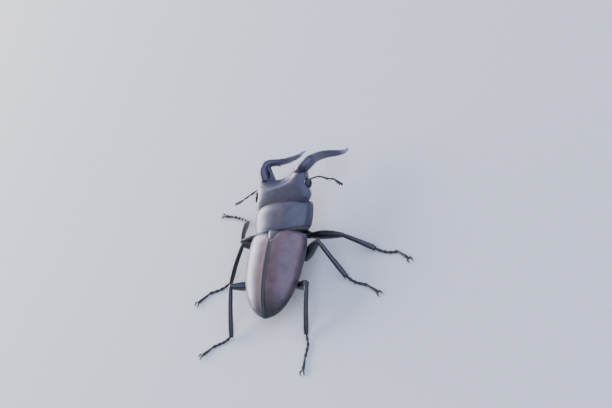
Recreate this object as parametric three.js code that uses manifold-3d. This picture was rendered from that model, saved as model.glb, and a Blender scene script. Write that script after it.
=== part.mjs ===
// A male saw stag beetle with long, bent-down mandibles, standing still, at life size.
// Millimetres and degrees. +Y is forwards, +X is the beetle's right and +Z is up.
// The floor is z = 0, and the waist between pronotum and wing cases is near y = 0.
import * as THREE from "three";
import { mergeVertices } from "three/addons/utils/BufferGeometryUtils.js";
import Module from "manifold-3d";

const wasm = await Module();
wasm.setup();

// ---------------------------------------------------------------- driving dimensions

const GAP = 0.06; // clearance between two plates or joints that touch
const FOOTPRINT_MIDDLE = [4.79, -5.19]; // the origin is on the floor under the middle of the stance

// Wing cases: each list runs from the tip of the abdomen forwards.
const WING_CASE = {
  y: [-26.9, -25.8, -24, -21, -17, -12, -6, -1.5, -0.3],
  halfWidth: [0.5, 3.2, 5.4, 7.5, 9.0, 9.8, 10.0, 9.4, 8.6],
  margin: [5.2, 5.5, 5.75, 6.2, 6.7, 7.2, 7.85, 8.5, 8.8],
  dome: [0.3, 0.9, 2.1, 3.5, 4.5, 5.3, 5.6, 4.4, 3.1],
  roundness: 0.9,
  lip: { width: 0.14, drop: 0.12 },
  fold: { depth: 0.55, width: 0.9, inset: 0.2 },
  underside: 0.3,
};
const SCUTELLUM = {
  shoulder: 0.1,
  front: -0.4,
  tip: -4.6,
  halfWidth: 2.2,
  waist: 1.65,
  proud: 0.08,
  thickness: 1.4,
};
const TRUNK = {
  inset: 1.45,
  topGap: 0.15,
  roundness: 0.6,
  thorax: { y: [-13.9, -11, -6, -2, -0.1], belly: [2.9, 2.6, 2.7, 3.1, 3.6] },
  abdomen: { y: [-26.0, -24, -21, -17.5, -14.05], belly: [4.9, 4.1, 3.5, 3.1, 3.0] },
  sternites: 5,
  sterniteStep: 0.16,
};

// The front of the body turns as one about the waist.
const FOREBODY = { pivot: [0, 0, 9], yaw: 11, pitch: 10, roll: 3 };
const PRONOTUM = {
  y: [0.5, 1.1, 3, 6.2, 8.1, 9.0],
  halfWidth: [8.9, 9.3, 9.6, 9.75, 9.6, 9.2],
  margin: [7.9, 7.8, 7.5, 7.2, 7.0, 6.9],
  dome: [4.3, 4.7, 4.8, 4.6, 4.2, 3.8],
  roundness: [0.85, 0.9],
  rearBow: -0.9,
  frontBow: 0.3,
  rim: { thickness: 0.3, width: 0.9, inset: 0.15, drop: 0.35 },
};
const PROSTERNUM = { y: [0.3, 2.5, 5, 7.3, 8.8], belly: [4.3, 3.7, 3.9, 4.5, 5.2], inset: 1.1 };

const HEAD = {
  pivot: [0, 18, 9],
  yaw: 4,
  pitch: -5,
  roll: -4,
  y: [8.1, 9.1, 10.5, 12.4, 14.2, 16.6, 19.2, 21.5],
  halfWidth: [7.4, 9.2, 9.7, 9.2, 8.9, 8.9, 8.6, 7.4],
  top: [9.7, 10.5, 11.0, 11.2, 11.1, 10.8, 10.5, 10.0],
  bottom: [5.9, 5.2, 4.9, 4.8, 4.9, 5.4, 6.1, 7.0],
  waist: 8.7,
  roundness: [0.62, 0.72],
  hollow: { from: 12.5, recess: 4.3, dip: 0.5 },
};
// The ridge that runs from the front corner of the head across the eye.
const CANTHUS = {
  path: [[7.8, 17.0, 9.3], [9.1, 15.2, 9.2], [9.7, 13.9, 9.15]],
  halfWidth: [0.3, 0.42, 0.25],
  halfHeight: [0.3, 0.34, 0.25],
};
const EYE = { at: [9.0, 13.6, 8.6], radii: [1.3, 1.75, 1.4] };
const LABRUM = {
  path: [[-2.1, 17.2, 7.9], [0, 17.4, 7.9], [2.1, 17.2, 7.9]],
  halfWidth: [0.8, 0.95, 0.8],
  halfHeight: [0.45, 0.5, 0.45],
};
const MENTUM = {
  path: [[0, 12.6, 4.75], [0, 14.8, 4.7], [0, 17.0, 5.2]],
  halfWidth: [2.6, 3.4, 3.0],
  halfHeight: [0.35, 0.45, 0.35],
};
const PALP = {
  path: [[1.9, 16.6, 5.7], [2.4, 18.0, 5.3], [2.7, 19.6, 4.7]],
  radius: [0.28, 0.32, 0.3, 0.36, 0.28],
};

// A jaw's lists run from its root to its tip. Rise is up and sweep is outwards, in degrees.
const MANDIBLE = {
  base: [5.8, 18.6, 8.9],
  length: 21.2,
  at: [0, 0.05, 0.23, 0.35, 0.5, 0.74, 0.92, 1],
  rise: [20, 28, -9, -47, -51, -51, -33, 5],
  sweep: [24, 33, -13, -43, -26, 4, -1, -78],
  halfBroad: [2.0, 2.1, 1.85, 1.55, 1.4, 1.05, 0.68, 0.24],
  halfThin: [1.6, 1.6, 1.35, 1.1, 1.0, 0.78, 0.5, 0.22],
  twist: [0, 0, 15, 35, 40, 40, 40, 40],
  swing: { right: 62, left: -26 },
  teeth: [
    { at: 0.4, length: 1.0, radius: 0.65 },
    { at: 0.7, length: 0.75, radius: 0.4 },
    { at: 0.77, length: 0.7, radius: 0.36 },
    { at: 0.84, length: 0.7, radius: 0.34 },
  ],
  toothLean: 0.25,
  fork: { at: 0.93, length: 1.5, radius: 0.42 },
  ridge: {
    right: [[-0.95, -1.1, -0.9], [-1.45, 0.85, 0.1]],
    left: [[-2.8, 0.2, -0.9], [-1.8, 1.8, 0.3]],
    joins: 0.27,
    halfWidth: 0.55,
    halfHeight: [1.0, 1.0, 0.8],
  },
};

// Feelers: root, middle of the scape, elbow, wrist and tip, in the frame of the whole beetle.
const ANTENNA = {
  right: [[6.0, 17.4, 10.8], [9.9, 17.8, 11.5], [13.0, 17.1, 11.2], [15.1, 17.3, 10.6], [18, 16.1, 9.4]],
  left: [[-10.9, 15.4, 10.5], [-12.6, 14.6, 10.3], [-15.3, 13.2, 9.8], [-18.2, 11.7, 9.2], [-22, 10.7, 8.4]],
  scape: [0.26, 0.27, 0.36],
  beads: { count: 5, radius: 0.27, swell: 0.06 },
  clubWidth: [0.3, 0.5, 0.46, 0.52, 0.46, 0.3],
  clubHeight: [0.28, 0.62, 0.5, 0.66, 0.5, 0.3],
};

// Legs: joints from the body outwards. Ankle and toes run along the floor.
const LEG = {
  fore_right: {
    coxa: [3.2, 2.6, 4.4], hip: [7.1, 1.7, 3.7], knee: [19, 1.4, 4.6], ankle: [29, -1.2, 1.05],
    toes: [[31.9, -2.0], [34.7, -2.3], [38.7, -2.0], [41.0, -4.0]], fore: true,
  },
  mid_right: {
    coxa: [4.0, -4.6, 3.4], hip: [7.3, -5.8, 3.2], knee: [13.6, -2.4, 8.3], ankle: [21.6, -10.4, 1.05],
    toes: [[24.9, -12.1], [28.6, -12.8], [31.4, -13.5], [33.6, -15.0]],
  },
  hind_right: {
    coxa: [4.0, -13.0, 3.4], hip: [6.9, -14.9, 3.0], knee: [13.6, -16.2, 8.2], ankle: [13.0, -29.2, 1.05],
    toes: [[14.3, -32.4], [14.5, -36.2], [15.0, -40.6]], bow: -0.7,
  },
  fore_left: {
    coxa: [-3.2, 2.2, 4.3], hip: [-6.9, 1.2, 3.7], knee: [-16.7, -1.7, 6.1], ankle: [-21.1, 7.8, 1.05],
    toes: [[-24.2, 9.3], [-28.6, 10.3], [-31.4, 10.5]], fore: true,
  },
  mid_left: {
    coxa: [-4.0, -4.2, 3.4], hip: [-7.2, -3.4, 3.4], knee: [-15.1, -3.1, 7.2], ankle: [-20.5, -13.4, 1.05],
    toes: [[-23.8, -15.3], [-27.4, -16.7], [-30.3, -17.9], [-31.3, -20.0]],
  },
  hind_left: {
    coxa: [-4.0, -13.0, 3.4], hip: [-7.0, -14.4, 3.2], knee: [-14.0, -18.0, 8.2], ankle: [-14.1, -31.3, 1.05],
    toes: [[-16.5, -32.9], [-20.6, -35.0], [-23.4, -37.6]], bow: -0.7,
  },
};
const COXA = { halfWidth: [0.95, 1.3, 1.3, 1.0], halfHeight: [0.95, 1.25, 1.25, 1.0] };
const FEMUR = {
  halfWidth: [0.85, 1.15, 1.3, 1.25, 1.05, 0.72],
  halfHeight: [0.9, 1.3, 1.5, 1.4, 1.15, 0.75],
  bow: 0.4,
};
const TIBIA = {
  halfWidth: [0.58, 0.72, 0.74, 0.78, 0.84, 0.76],
  halfHeight: [0.6, 0.76, 0.78, 0.82, 0.86, 0.7],
  bow: 0.35,
  clearance: 0.05,
};
const SHIN_SPINES = {
  foreRow: [0.45, 0.6, 0.75, 0.88],
  otherRow: [0.58],
  spurs: 0.96,
  length: 1.25,
  spurLength: 1.5,
  radius: 0.3,
  lift: 0.3,
};
const TOE = { start: 0.12, height: 0.42, halfWidth: 0.5, halfHeight: 0.5, neck: 0.7, joints: 5 };
const CLAW = { length: 1.9, radius: 0.29, tip: 0.15, spread: 36, sunk: 0.1, arch: 0.62, bend: 0.55 };

// ---------------------------------------------------------------- colours and finishes

const finish = (color, roughness) => new THREE.MeshStandardMaterial({ color, roughness, metalness: 0 });
const SHELL = finish("#3a2a2c", 0.38);
const WING = finish("#4a2f30", 0.34);
const LIMB = finish("#17171b", 0.35);
const JAW = finish("#26191b", 0.3);
const BELLY = finish("#241a18", 0.45);
const EYE_BLACK = finish("#0b0b0c", 0.2);
const FEELER = finish("#241a17", 0.5);

// ---------------------------------------------------------------- curves

const rad = THREE.MathUtils.degToRad;

// A smooth curve through (xs, ys) that never overshoots them.
function throughPoints(xs, ys) {
  const slope = xs.slice(1).map((x, i) => (ys[i + 1] - ys[i]) / (x - xs[i]));
  const tangent = xs.map((_, i) => {
    if (i === 0 || i === xs.length - 1) return slope[Math.min(i, slope.length - 1)];
    return slope[i - 1] * slope[i] <= 0 ? 0 : (2 * slope[i - 1] * slope[i]) / (slope[i - 1] + slope[i]);
  });
  return (x) => {
    const clamped = Math.min(Math.max(x, xs[0]), xs[xs.length - 1]);
    const i = Math.max(0, Math.min(xs.findIndex((v) => v >= clamped) - 1, xs.length - 2));
    const width = xs[i + 1] - xs[i];
    const t = (clamped - xs[i]) / width;
    const rise = ys[i] * (1 - t) ** 2 * (1 + 2 * t) + ys[i + 1] * t * t * (3 - 2 * t);
    return rise + width * (tangent[i] * t * (1 - t) ** 2 - tangent[i + 1] * t * t * (1 - t));
  };
}

// A list of values spread evenly over 0 to 1.
const spread = (values) => throughPoints(values.map((_, i) => i / (values.length - 1)), values);

const steps = (from, to, count) =>
  Array.from({ length: count + 1 }, (_, i) => from + ((to - from) * i) / count);

// ---------------------------------------------------------------- closed solids

// A closed body from rings of equal length. Each end is a fan about its middle, or is laced
// straight across between the upper and the lower half of the ring.
function loft(rings, laced = false) {
  const size = rings[0].length;
  const vertices = rings.flat();
  const faces = [];
  const quad = (a, b, c, d) => faces.push(a, b, c, a, c, d);
  for (let r = 0; r < rings.length - 1; r++) {
    for (let i = 0; i < size; i++) {
      const [a, b] = [r * size + i, r * size + ((i + 1) % size)];
      quad(a, b, b + size, a + size);
    }
  }
  const fan = (start, side) => {
    const middle = new THREE.Vector3();
    for (let i = 0; i < size; i++) middle.addScaledVector(vertices[start + i], 1 / size);
    vertices.push(middle);
    for (let i = 0; i < size; i++) {
      const pair = [start + i, start + ((i + 1) % size)];
      faces.push(vertices.length - 1, ...(side < 0 ? pair.reverse() : pair));
    }
  };
  const lace = (start, side) => {
    const half = size / 2;
    for (let i = 0; i < half; i++) {
      const strip = [start + i, start + i + 1, start + ((size - i - 1) % size), start + ((size - i) % size)];
      const corners = strip.filter((corner, k) => strip.indexOf(corner) === k);
      if (side < 0) corners.reverse();
      corners.length === 4 ? quad(...corners) : faces.push(...corners);
    }
  };
  const cap = laced ? lace : fan;
  cap(0, -1);
  cap((rings.length - 1) * size, 1);
  return closedGeometry(vertices, faces);
}

// Faces of the body point outwards, whichever way its rings ran.
function closedGeometry(vertices, faces) {
  let volume = 0;
  for (let i = 0; i < faces.length; i += 3) {
    const [a, b, c] = [vertices[faces[i]], vertices[faces[i + 1]], vertices[faces[i + 2]]];
    volume += a.dot(b.clone().cross(c));
  }
  const outward = volume > 0 ? faces : [...faces].reverse();
  return new THREE.BufferGeometry().setFromPoints(vertices).setIndex(outward);
}

function toSolid(geometry) {
  const bare = new THREE.BufferGeometry();
  bare.setAttribute("position", geometry.getAttribute("position"));
  bare.setIndex(geometry.index);
  const merged = mergeVertices(bare, 1e-4);
  return new wasm.Manifold(
    new wasm.Mesh({
      numProp: 3,
      vertProperties: new Float32Array(merged.attributes.position.array),
      triVerts: new Uint32Array(merged.index.array),
    }),
  );
}

// A cut can leave slivers, so only the largest body is kept.
function fromSolid(solid) {
  const [largest] = solid.decompose().sort((a, b) => b.volume() - a.volume());
  const mesh = largest.getMesh();
  const geometry = new THREE.BufferGeometry();
  geometry.setAttribute("position", new THREE.BufferAttribute(mesh.vertProperties, 3));
  geometry.setIndex(new THREE.BufferAttribute(mesh.triVerts, 1));
  return geometry;
}

const cutBy = (geometry, ...cutters) =>
  fromSolid(cutters.reduce((solid, cutter) => solid.subtract(toSolid(cutter)), toSolid(geometry)));
const joined = (geometry, ...others) =>
  fromSolid(others.reduce((solid, other) => solid.add(toSolid(other)), toSolid(geometry)));

// A limb, horn or feeler: elliptical rings along a smooth path, widest sideways of "up".
function limb(points, halfWidth, halfHeight, { sides = 8, rings = 7, grow = 0, floor = -Infinity } = {}) {
  const path = new THREE.CatmullRomCurve3(points.map((p) => new THREE.Vector3(...p)), false, "centripetal");
  const width = typeof halfWidth === "function" ? halfWidth : spread(halfWidth);
  const height = typeof halfHeight === "function" ? halfHeight : spread(halfHeight);
  return loft(steps(0, 1, rings - 1).map((t) => {
    const along = path.getTangentAt(t);
    const past = t === 0 ? -grow : t === 1 ? grow : 0;
    const centre = path.getPointAt(t).addScaledVector(along, past);
    return ellipse(centre, along, width(t) + grow, height(t) + grow, sides, floor);
  }));
}

// A ring with a side, not a corner, facing down, and nothing below the floor.
function ellipse(centre, along, halfWidth, halfHeight, sides, floor = -Infinity) {
  const across = new THREE.Vector3(0, 0, 1).cross(along).normalize();
  const up = along.clone().cross(across).normalize();
  const start = (0.75 * sides - 0.5) % 1;
  return Array.from({ length: sides }, (_, i) => {
    const turn = ((i + start) / sides) * 2 * Math.PI;
    const point = centre.clone().addScaledVector(across, halfWidth * Math.cos(turn));
    point.addScaledVector(up, halfHeight * Math.sin(turn));
    return point.setZ(Math.max(point.z, floor));
  });
}

// A tooth or spine: a cone from a point, towards a direction.
function spine(from, towards, length, radius, sides = 4) {
  const cone = new THREE.ConeGeometry(radius, length, sides).toNonIndexed();
  cone.deleteAttribute("normal");
  cone.deleteAttribute("uv");
  cone.translate(0, length / 2, 0);
  cone.applyQuaternion(new THREE.Quaternion().setFromUnitVectors(new THREE.Vector3(0, 1, 0), towards));
  cone.translate(from.x, from.y, from.z);
  return mergeVertices(cone, 1e-4);
}

function ball(at, radii, grow = 0) {
  const sphere = new THREE.SphereGeometry(1, 10, 6).toNonIndexed();
  sphere.deleteAttribute("normal");
  sphere.deleteAttribute("uv");
  sphere.scale(...radii.map((r) => r + grow));
  sphere.translate(...at);
  return mergeVertices(sphere, 1e-4);
}

const mirrored = ([x, y, z], side) => [x * side, y, z];
const between = (a, b, t, lift = 0) => a.map((v, i) => v + (b[i] - v) * t + (i === 2 ? lift : 0));

// ---------------------------------------------------------------- groups and naming

const beetle = new THREE.Group();
beetle.position.set(-FOOTPRINT_MIDDLE[0], -FOOTPRINT_MIDDLE[1], 0);

// A group that turns about a pivot: yaw about Z, then pitch about X, then roll about Y.
function turnedGroup({ pivot, yaw, pitch, roll }) {
  const group = new THREE.Group();
  group.rotation.set(rad(pitch), rad(roll), rad(yaw), "ZXY");
  const centre = new THREE.Vector3(...pivot);
  group.position.copy(centre).sub(centre.clone().applyEuler(group.rotation));
  return group;
}

const forebody = turnedGroup(FOREBODY);
const headGroup = turnedGroup(HEAD);
forebody.add(headGroup);
beetle.add(forebody);

function addPart(group, name, geometry, material) {
  const mesh = new THREE.Mesh(geometry, material);
  mesh.name = name;
  group.add(mesh);
}

const SIDES = [["right", 1], ["left", -1]];

// ---------------------------------------------------------------- plates of the trunk

const caseWidth = throughPoints(WING_CASE.y, WING_CASE.halfWidth);
const caseMargin = throughPoints(WING_CASE.y, WING_CASE.margin);
const caseDome = throughPoints(WING_CASE.y, WING_CASE.dome);

// Half of a dome over the back, with a thin lip and a fold turned under along its outer edge.
function wingCase(side) {
  const { y: stations, roundness, lip, fold, underside: depth } = WING_CASE;
  const [rear, front] = [stations[0], stations[stations.length - 1]];
  const fullWidth = 4;
  const rings = steps(0, 1, 12).map((t) => {
    const y = rear + (front - rear) * t ** 1.5;
    const [a, m, h] = [caseWidth(y), caseMargin(y), caseDome(y)];
    const taper = Math.min(1, a / fullWidth);
    const over = steps(0, Math.PI / 2, 8).map((turn) => [
      GAP + (a - GAP) * Math.sin(turn) ** roundness,
      m + h * Math.max(0, Math.cos(turn)) ** roundness,
    ]);
    const under = [
      [a + lip.width * taper, m - lip.drop * taper],
      [a - fold.inset * taper, m - fold.depth * taper],
      [Math.max(GAP * 2, a - fold.inset - fold.width), m - depth * taper],
      [GAP, m - depth * taper],
    ];
    return [...over, ...under].map(([x, z]) => new THREE.Vector3(x * side, y, z));
  });
  return loft(rings);
}

// The small shield between the wing cases: it lies a little proud of their roof.
function scutellum(grow) {
  const { shoulder, front, tip, halfWidth, waist, proud, thickness } = SCUTELLUM;
  const [wide, bow] = [halfWidth + grow, (front + tip) / 2 - 0.6];
  const outline = new THREE.Shape();
  outline.moveTo(-wide, shoulder + grow);
  outline.lineTo(-wide, front);
  outline.quadraticCurveTo(-waist, bow, 0, tip - grow);
  outline.quadraticCurveTo(waist, bow, wide, front);
  outline.lineTo(wide, shoulder + grow);
  const depth = thickness + (grow ? 2 * thickness : 0);
  const plate = new THREE.ExtrudeGeometry(outline, { depth, bevelEnabled: false, curveSegments: 6 });
  const place = plate.getAttribute("position");
  for (let i = 0; i < place.count; i++) {
    const y = place.getY(i);
    place.setZ(i, place.getZ(i) + caseMargin(y) + caseDome(y) + proud - thickness - grow);
  }
  plate.deleteAttribute("normal");
  plate.deleteAttribute("uv");
  return mergeVertices(plate, 1e-4);
}

// A stretch of the underside: flat on top, rounded down to the belly.
function underside(span, width, roof, plates = 0, grow = 0) {
  const belly = throughPoints(span.y, span.belly);
  const [rear, front] = [span.y[0] - grow, span.y[span.y.length - 1] + grow];
  const ringsPerPlate = 3;
  const rings = steps(0, 1, plates ? plates * ringsPerPlate : 8).map((t, i) => {
    const y = rear + (front - rear) * t;
    const [a, top] = [width(y) + grow, roof(y) + grow];
    const step = plates && i % ringsPerPlate === 0 ? TRUNK.sterniteStep : 0;
    const low = belly(y) - grow + step;
    const round = steps(0, Math.PI, 8).map((turn) => {
      const depth = Math.max(0, Math.sin(turn)) ** TRUNK.roundness;
      return new THREE.Vector3(-a * Math.cos(turn), y, top - (top - low) * depth);
    });
    return [...round, new THREE.Vector3(0, y, top)];
  });
  return loft(rings);
}

const trunkWidth = (y) => Math.max(0.8, caseWidth(y) - TRUNK.inset);
const trunkRoof = (y) => caseMargin(y) - WING_CASE.underside - TRUNK.topGap;

const pronotumWidth = throughPoints(PRONOTUM.y, PRONOTUM.halfWidth);
const pronotumMargin = throughPoints(PRONOTUM.y, PRONOTUM.margin);
const pronotumDome = throughPoints(PRONOTUM.y, PRONOTUM.dome);

// The shield behind the head: a low dome with a thin rim all round.
function pronotum(grow) {
  const { y: stations, roundness, rearBow, frontBow, rim } = PRONOTUM;
  const [rear, front] = [stations[0] - grow, stations[stations.length - 1] + grow];
  const rings = steps(0, 1, 9).map((t) => {
    const y = rear + (front - rear) * t;
    const [a, m, h] = [pronotumWidth(y) + grow, pronotumMargin(y), pronotumDome(y) + grow];
    const bow = THREE.MathUtils.lerp(rearBow, frontBow, t);
    const place = (x, z) => new THREE.Vector3(x, y + bow * (1 - (x / a) ** 2), z);
    const over = steps(-Math.PI / 2, Math.PI / 2, 16).map((turn) => {
      const x = a * Math.sign(turn) * Math.abs(Math.sin(turn)) ** roundness[0];
      return place(x, m + h * Math.max(0, Math.cos(turn)) ** roundness[1]);
    });
    const [low, lower] = [m - rim.thickness - grow, m - rim.drop - grow];
    const under = [
      place(a - rim.inset, low), place(a - rim.width, lower), place(0, low),
      place(rim.width - a, lower), place(rim.inset - a, low),
    ];
    return [...over, ...under];
  });
  return loft(rings);
}

function prosternum(grow) {
  const width = (y) => pronotumWidth(y) - PROSTERNUM.inset;
  const roof = (y) => pronotumMargin(y) - PRONOTUM.rim.drop - TRUNK.topGap;
  return underside(PROSTERNUM, width, roof, 0, grow);
}

// The neighbours' clearance round the front of the body, in the frame that the matrix leads to.
const forebodyCutters = (matrix) =>
  [pronotum(GAP * 2), prosternum(GAP * 2)].map((geometry) => geometry.applyMatrix4(matrix));

// ---------------------------------------------------------------- head

const headWidth = throughPoints(HEAD.y, HEAD.halfWidth);
const headTop = throughPoints(HEAD.y, HEAD.top);
const headBottom = throughPoints(HEAD.y, HEAD.bottom);

// A broad box with rounded edges, hollowed in front between the two jaws.
function headCapsule(grow) {
  const { y: stations, waist, roundness, hollow } = HEAD;
  const [rear, front] = [stations[0] - grow, stations[stations.length - 1] + grow];
  const sides = 20;
  const rings = steps(0, 1, 11).map((t) => {
    const y = rear + (front - rear) * t;
    const [a, top, bottom] = [headWidth(y) + grow, headTop(y) + grow, headBottom(y) - grow];
    const forward = THREE.MathUtils.smoothstep(y, hollow.from, front);
    return Array.from({ length: sides }, (_, i) => {
      const turn = (i / sides) * 2 * Math.PI;
      const [c, s] = [Math.cos(turn), Math.sin(turn)];
      const x = a * Math.sign(c) * Math.abs(c) ** roundness[0];
      const middle = 1 - (x / a) ** 2;
      const reach = (s > 0 ? top : bottom) - waist;
      const dip = s > 0 ? hollow.dip * forward * middle ** 2 : 0;
      const z = waist + reach * Math.abs(s) ** roundness[1] - dip;
      return new THREE.Vector3(x, y - hollow.recess * forward * middle, z);
    });
  });
  return loft(rings, true);
}

function canthus(side, grow) {
  const path = CANTHUS.path.map((p) => mirrored(p, side));
  return limb(path, CANTHUS.halfWidth, CANTHUS.halfHeight, { rings: 4, sides: 6, grow });
}

const wholeHead = (grow) => joined(headCapsule(grow), canthus(1, grow), canthus(-1, grow));
const headCutter = wholeHead(GAP);

function eye(side) {
  return cutBy(ball(mirrored(EYE.at, side), EYE.radii), headCutter);
}

// Where a jaw's middle line runs, and how it is swung out or in about its base.
function jawPath(side) {
  const rise = throughPoints(MANDIBLE.at, MANDIBLE.rise);
  const sweep = throughPoints(MANDIBLE.at, MANDIBLE.sweep);
  const swing = side > 0 ? MANDIBLE.swing.right : MANDIBLE.swing.left;
  const count = 40;
  const point = new THREE.Vector3(...mirrored(MANDIBLE.base, side));
  const points = [point.clone()];
  steps(0, 1, count).slice(1).forEach((end) => {
    const t = end - 0.5 / count;
    const [up, out] = [rad(rise(t)), rad(sweep(t) + swing)];
    const step = new THREE.Vector3(side * Math.sin(out), Math.cos(out), 0).multiplyScalar(Math.cos(up));
    point.addScaledVector(step.setZ(Math.sin(up)), MANDIBLE.length / count);
    points.push(point.clone());
  });
  return points;
}

function mandible(side) {
  const path = new THREE.CatmullRomCurve3(jawPath(side));
  const along = (key) => throughPoints(MANDIBLE.at, MANDIBLE[key]);
  const [thin, broad, twist] = [along("halfThin"), along("halfBroad"), along("twist")];
  const rings = steps(0, 1, 15).map((t) => {
    const axis = path.getTangentAt(t);
    const ring = ellipse(new THREE.Vector3(), axis, thin(t), broad(t), 10);
    return ring.map((point) => point.applyAxisAngle(axis, rad(-side * twist(t))).add(path.getPointAt(t)));
  });
  const inward = (t) => {
    const axis = path.getTangentAt(t);
    const across = new THREE.Vector3(0, 0, 1).cross(axis).multiplyScalar(side).normalize();
    return across.addScaledVector(axis, MANDIBLE.toothLean).normalize();
  };
  const teeth = MANDIBLE.teeth.map(({ at, length, radius }) =>
    spine(path.getPointAt(at), inward(at), thin(at) + length, radius, 5));
  const { at, length, radius } = MANDIBLE.fork;
  const prong = spine(path.getPointAt(at), path.getTangentAt(at), length, radius, 6);
  return cutBy(joined(loft(rings), ...teeth, prong, jawRidge(side, path)), headCutter);
}

// The inner edge of the jaw's root: a ridge with a hollow between it and the jaw itself.
function jawRidge(side, path) {
  const { joins, halfWidth, halfHeight } = MANDIBLE.ridge;
  const name = side > 0 ? "right" : "left";
  const [root, bend] = MANDIBLE.ridge[name];
  const swing = rad(MANDIBLE.swing[name]);
  const onJaw = ([x, y, z]) => [
    side * (MANDIBLE.base[0] + x * Math.cos(swing) + y * Math.sin(swing)),
    MANDIBLE.base[1] - x * Math.sin(swing) + y * Math.cos(swing),
    MANDIBLE.base[2] + z,
  ];
  const points = [onJaw(root), onJaw(bend), path.getPointAt(joins).toArray()];
  return limb(points, () => halfWidth, halfHeight, { rings: 5, sides: 6 });
}

const mentum = (grow) => limb(MENTUM.path, MENTUM.halfWidth, MENTUM.halfHeight, { rings: 6, grow });

function palp(side) {
  const path = PALP.path.map((p) => mirrored(p, side));
  return limb(path, PALP.radius, PALP.radius, { rings: 7, sides: 6 });
}

// ---------------------------------------------------------------- build the body

forebody.updateMatrix();
headGroup.updateMatrix();

addPart(forebody, "pronotum", pronotum(0), SHELL);
addPart(forebody, "prosternum", prosternum(0), BELLY);

const neck = forebodyCutters(headGroup.matrix.clone().invert());
addPart(headGroup, "head", cutBy(wholeHead(0), ...neck), SHELL);
const lip = limb(LABRUM.path, LABRUM.halfWidth, LABRUM.halfHeight, { rings: 5 });
addPart(headGroup, "labrum", cutBy(lip, headCutter), JAW);
addPart(headGroup, "mentum", cutBy(mentum(0), headCutter), BELLY);
for (const [name, side] of SIDES) {
  addPart(headGroup, `eye_${name}`, eye(side), EYE_BLACK);
  addPart(headGroup, `mandible_${name}`, mandible(side), JAW);
  addPart(headGroup, `palp_${name}`, cutBy(palp(side), headCutter, mentum(GAP)), FEELER);
}

const waist = forebodyCutters(forebody.matrix);
addPart(beetle, "scutellum", cutBy(scutellum(0), ...waist), SHELL);
for (const [name, side] of SIDES) {
  addPart(beetle, `elytron_${name}`, cutBy(wingCase(side), scutellum(GAP), ...waist), WING);
}
const thorax = (grow) => underside(TRUNK.thorax, trunkWidth, trunkRoof, 0, grow);
const abdomen = (grow) => underside(TRUNK.abdomen, trunkWidth, trunkRoof, TRUNK.sternites, grow);
addPart(beetle, "metathorax", cutBy(thorax(0), ...waist), BELLY);
addPart(beetle, "abdomen", abdomen(0), BELLY);

// ---------------------------------------------------------------- feelers

const headToBeetle = new THREE.Matrix4().multiplyMatrices(forebody.matrix, headGroup.matrix);
const eyeball = (side) => ball(mirrored(EYE.at, side), EYE.radii, GAP);
const headAndEyes = joined(headCapsule(GAP), eyeball(1), eyeball(-1)).applyMatrix4(headToBeetle);

for (const [name] of SIDES) {
  const [root, bend, elbow, wrist, tip] = ANTENNA[name];
  const scape = limb([root, bend, elbow], ANTENNA.scape, ANTENNA.scape, { rings: 5, sides: 6 });
  addPart(beetle, `antenna_scape_${name}`, cutBy(scape, headAndEyes), FEELER);

  const { count, radius, swell } = ANTENNA.beads;
  const bead = (t) => radius + swell * Math.cos(t * count * 2 * Math.PI);
  const stalk = limb([between(elbow, wrist, 0.06), wrist], bead, bead, { rings: 2 * count + 1, sides: 6 });
  addPart(beetle, `antenna_stalk_${name}`, stalk, FEELER);

  const clubPath = [between(wrist, tip, 0.04), between(wrist, tip, 0.5), tip];
  const club = limb(clubPath, ANTENNA.clubWidth, ANTENNA.clubHeight, { rings: 9, sides: 6 });
  addPart(beetle, `antenna_club_${name}`, club, FEELER);
}

// ---------------------------------------------------------------- legs

// The first joint, from inside the belly out to the hip.
const coxa = (leg, grow) => limb([leg.coxa, leg.hip], COXA.halfWidth, COXA.halfHeight, { rings: 4, grow });

function femur(leg, grow) {
  const bowed = [leg.hip, between(leg.hip, leg.knee, 0.5, leg.bow ?? FEMUR.bow), leg.knee];
  return limb(bowed, FEMUR.halfWidth, FEMUR.halfHeight, { rings: 6, grow });
}

function tibia(leg, grow) {
  const bowed = [leg.knee, between(leg.knee, leg.ankle, 0.5, TIBIA.bow), leg.ankle];
  const shin = { rings: 5, sides: 6, grow, floor: TIBIA.clearance };
  return joined(limb(bowed, TIBIA.halfWidth, TIBIA.halfHeight, shin), ...shinSpines(leg));
}

// A row of teeth along a fore shin, one spine on the others, and two spurs at every ankle.
function shinSpines(leg) {
  const { foreRow, otherRow, spurs, length, spurLength, radius, lift } = SHIN_SPINES;
  const path = new THREE.LineCurve3(new THREE.Vector3(...leg.knee), new THREE.Vector3(...leg.ankle));
  const along = path.getTangentAt(0.5);
  const away = new THREE.Vector3(0, 0, 1).cross(along).normalize();
  if (away.x * Math.sign(leg.knee[0]) < 0 && Math.abs(away.x) > 0.3) away.negate();
  const lean = (aside) => away.clone().multiplyScalar(aside).add(along).normalize();
  const raised = (t) => path.getPointAt(t).add(new THREE.Vector3(0, 0, lift));
  const row = (leg.fore ? foreRow : otherRow).map((t) => spine(raised(t), lean(2), length, radius));
  const pair = [0.8, -0.8].map((aside) => spine(path.getPointAt(spurs), lean(aside), spurLength, radius));
  return [...row, ...pair];
}

// The foot: small joints that each widen forwards and are flat underneath.
function toes(leg, grow) {
  const raised = leg.toes.map(([x, y]) => [x, y, TOE.height]);
  const points = [between(leg.ankle, raised[0], TOE.start), ...raised];
  const rings = TOE.joints * 2;
  const width = (t) => TOE.halfWidth * (Math.round(t * (rings - 1)) % 2 ? 1 : TOE.neck);
  return limb(points, width, () => TOE.halfHeight, { rings, sides: 6, grow, floor: 0 });
}

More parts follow.
